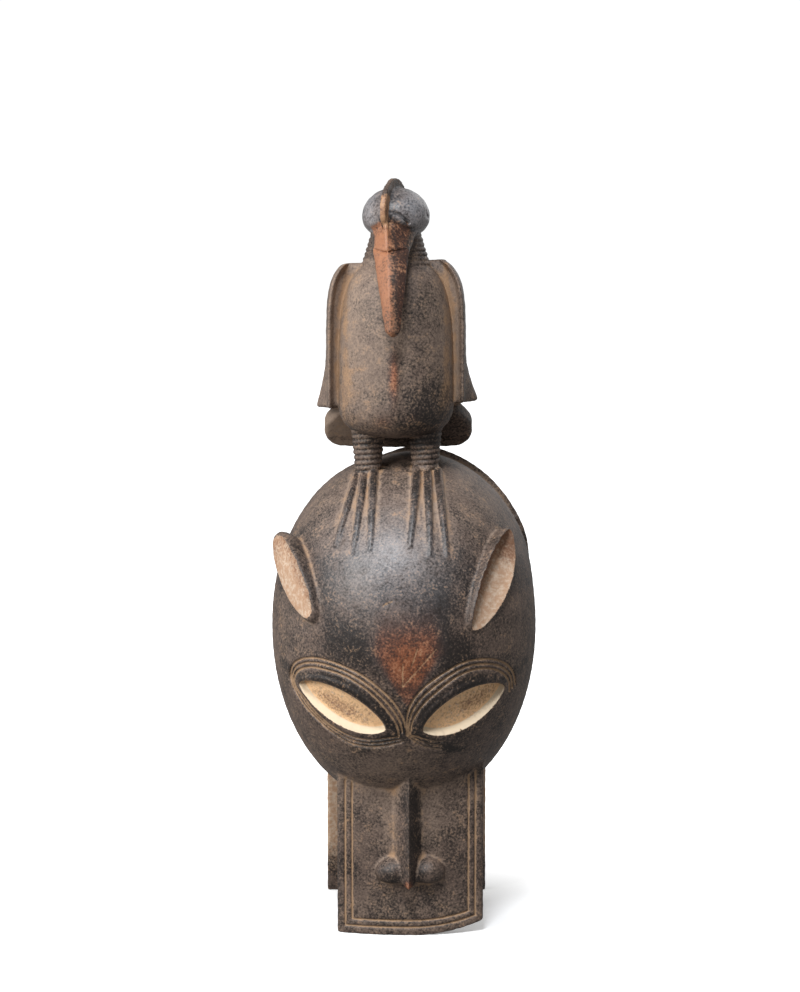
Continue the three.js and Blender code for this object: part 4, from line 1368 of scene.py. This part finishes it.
# The studio: a floor that glows white by itself, but dimly round the mask's foot as a painted shadow,
# under a white surround, a big soft light at the left, one high in front, and weak ones beside and behind.
FLOOR_RADIUS = 12.0
FLOOR_SIDES = 48
FOOT_SHADOW_GLOW = 0.24
GLOW_AFAR = 1.1
GLOW_REACH = (0.09, 0.28)
SURROUND_SHOWN = 1.05
SURROUND_LIGHT = 0.31
PAPER_WHITE = (0.93, 0.93, 0.93, 1)
LIT_HEIGHT = 0.33

turns = [2 * math.pi * i / FLOOR_SIDES for i in range(FLOOR_SIDES)]
ring = [(FLOOR_RADIUS * math.cos(turn), FLOOR_RADIUS * math.sin(turn), 0) for turn in turns]
floor_mesh = bpy.data.meshes.new("floor")
floor_mesh.from_pydata(ring, [], [range(FLOOR_SIDES)])
floor = bpy.data.objects.new("floor", floor_mesh)
bpy.context.collection.objects.link(floor)
paper = bpy.data.materials.new("studio_paper")
paper.use_nodes = True
paper_shader = paper.node_tree.nodes["Principled BSDF"]
paper_shader.inputs["Base Color"].default_value = PAPER_WHITE
paper_shader.inputs["Roughness"].default_value = 0.9
paper_shader.inputs["Emission Color"].default_value = (1, 1, 1, 1)
paper_nodes, paper_links = paper.node_tree.nodes, paper.node_tree.links
# The floor's glow grows with the distance from the foot: dim near it as a painted shadow, white beyond.
from_foot = paper_nodes.new("ShaderNodeVectorMath")
from_foot.operation = "LENGTH"
paper_links.new(paper_nodes.new("ShaderNodeTexCoord").outputs["Object"], from_foot.inputs[0])
glow = paper_nodes.new("ShaderNodeMapRange")
glow.inputs["From Min"].default_value, glow.inputs["From Max"].default_value = GLOW_REACH
glow.inputs["To Min"].default_value = FOOT_SHADOW_GLOW
glow.inputs["To Max"].default_value = GLOW_AFAR
paper_links.new(from_foot.outputs["Value"], glow.inputs["Value"])
paper_links.new(glow.outputs["Result"], paper_shader.inputs["Emission Strength"])
floor_mesh.materials.append(paper)
floor.visible_diffuse = False
floor.visible_glossy = False

LIGHTS = [
    ("key", (-1.55, -1.6, 1.5), 1.1, 50, (1.0, 0.99, 0.97)),
    ("front", (-0.22, -1.35, 2.05), 0.5, 38, (0.93, 0.96, 1.0)),
    ("side", (-2.2, 0.15, 0.8), 1.5, 15, (0.96, 0.98, 1.0)),
    ("behind", (1.3, 2.2, 1.5), 2.0, 11, (1.0, 1.0, 1.0)),
]
for name, place, size, power, tint in LIGHTS:
    lamp = bpy.data.lights.new(name, "AREA")
    lamp.size = size
    lamp.energy = power
    lamp.color = tint
    holder = bpy.data.objects.new(name, lamp)
    holder.location = place
    toward_mask = Vector((0, 0, LIT_HEIGHT)) - Vector(place)
    holder.rotation_euler = toward_mask.to_track_quat("-Z", "Y").to_euler()
    bpy.context.collection.objects.link(holder)

sky = bpy.data.worlds.new("studio")
sky.use_nodes = True
backdrop = sky.node_tree.nodes["Background"]
backdrop.inputs["Color"].default_value = (1, 1, 1, 1)
ray = sky.node_tree.nodes.new("ShaderNodeLightPath")
level = sky.node_tree.nodes.new("ShaderNodeMapRange")
level.inputs["To Min"].default_value = SURROUND_LIGHT
level.inputs["To Max"].default_value = SURROUND_SHOWN
sky.node_tree.links.new(ray.outputs["Is Camera Ray"], level.inputs["Value"])
sky.node_tree.links.new(level.outputs["Result"], backdrop.inputs["Strength"])
bpy.context.scene.world = sky
bpy.context.scene.view_settings.view_transform = "Standard"
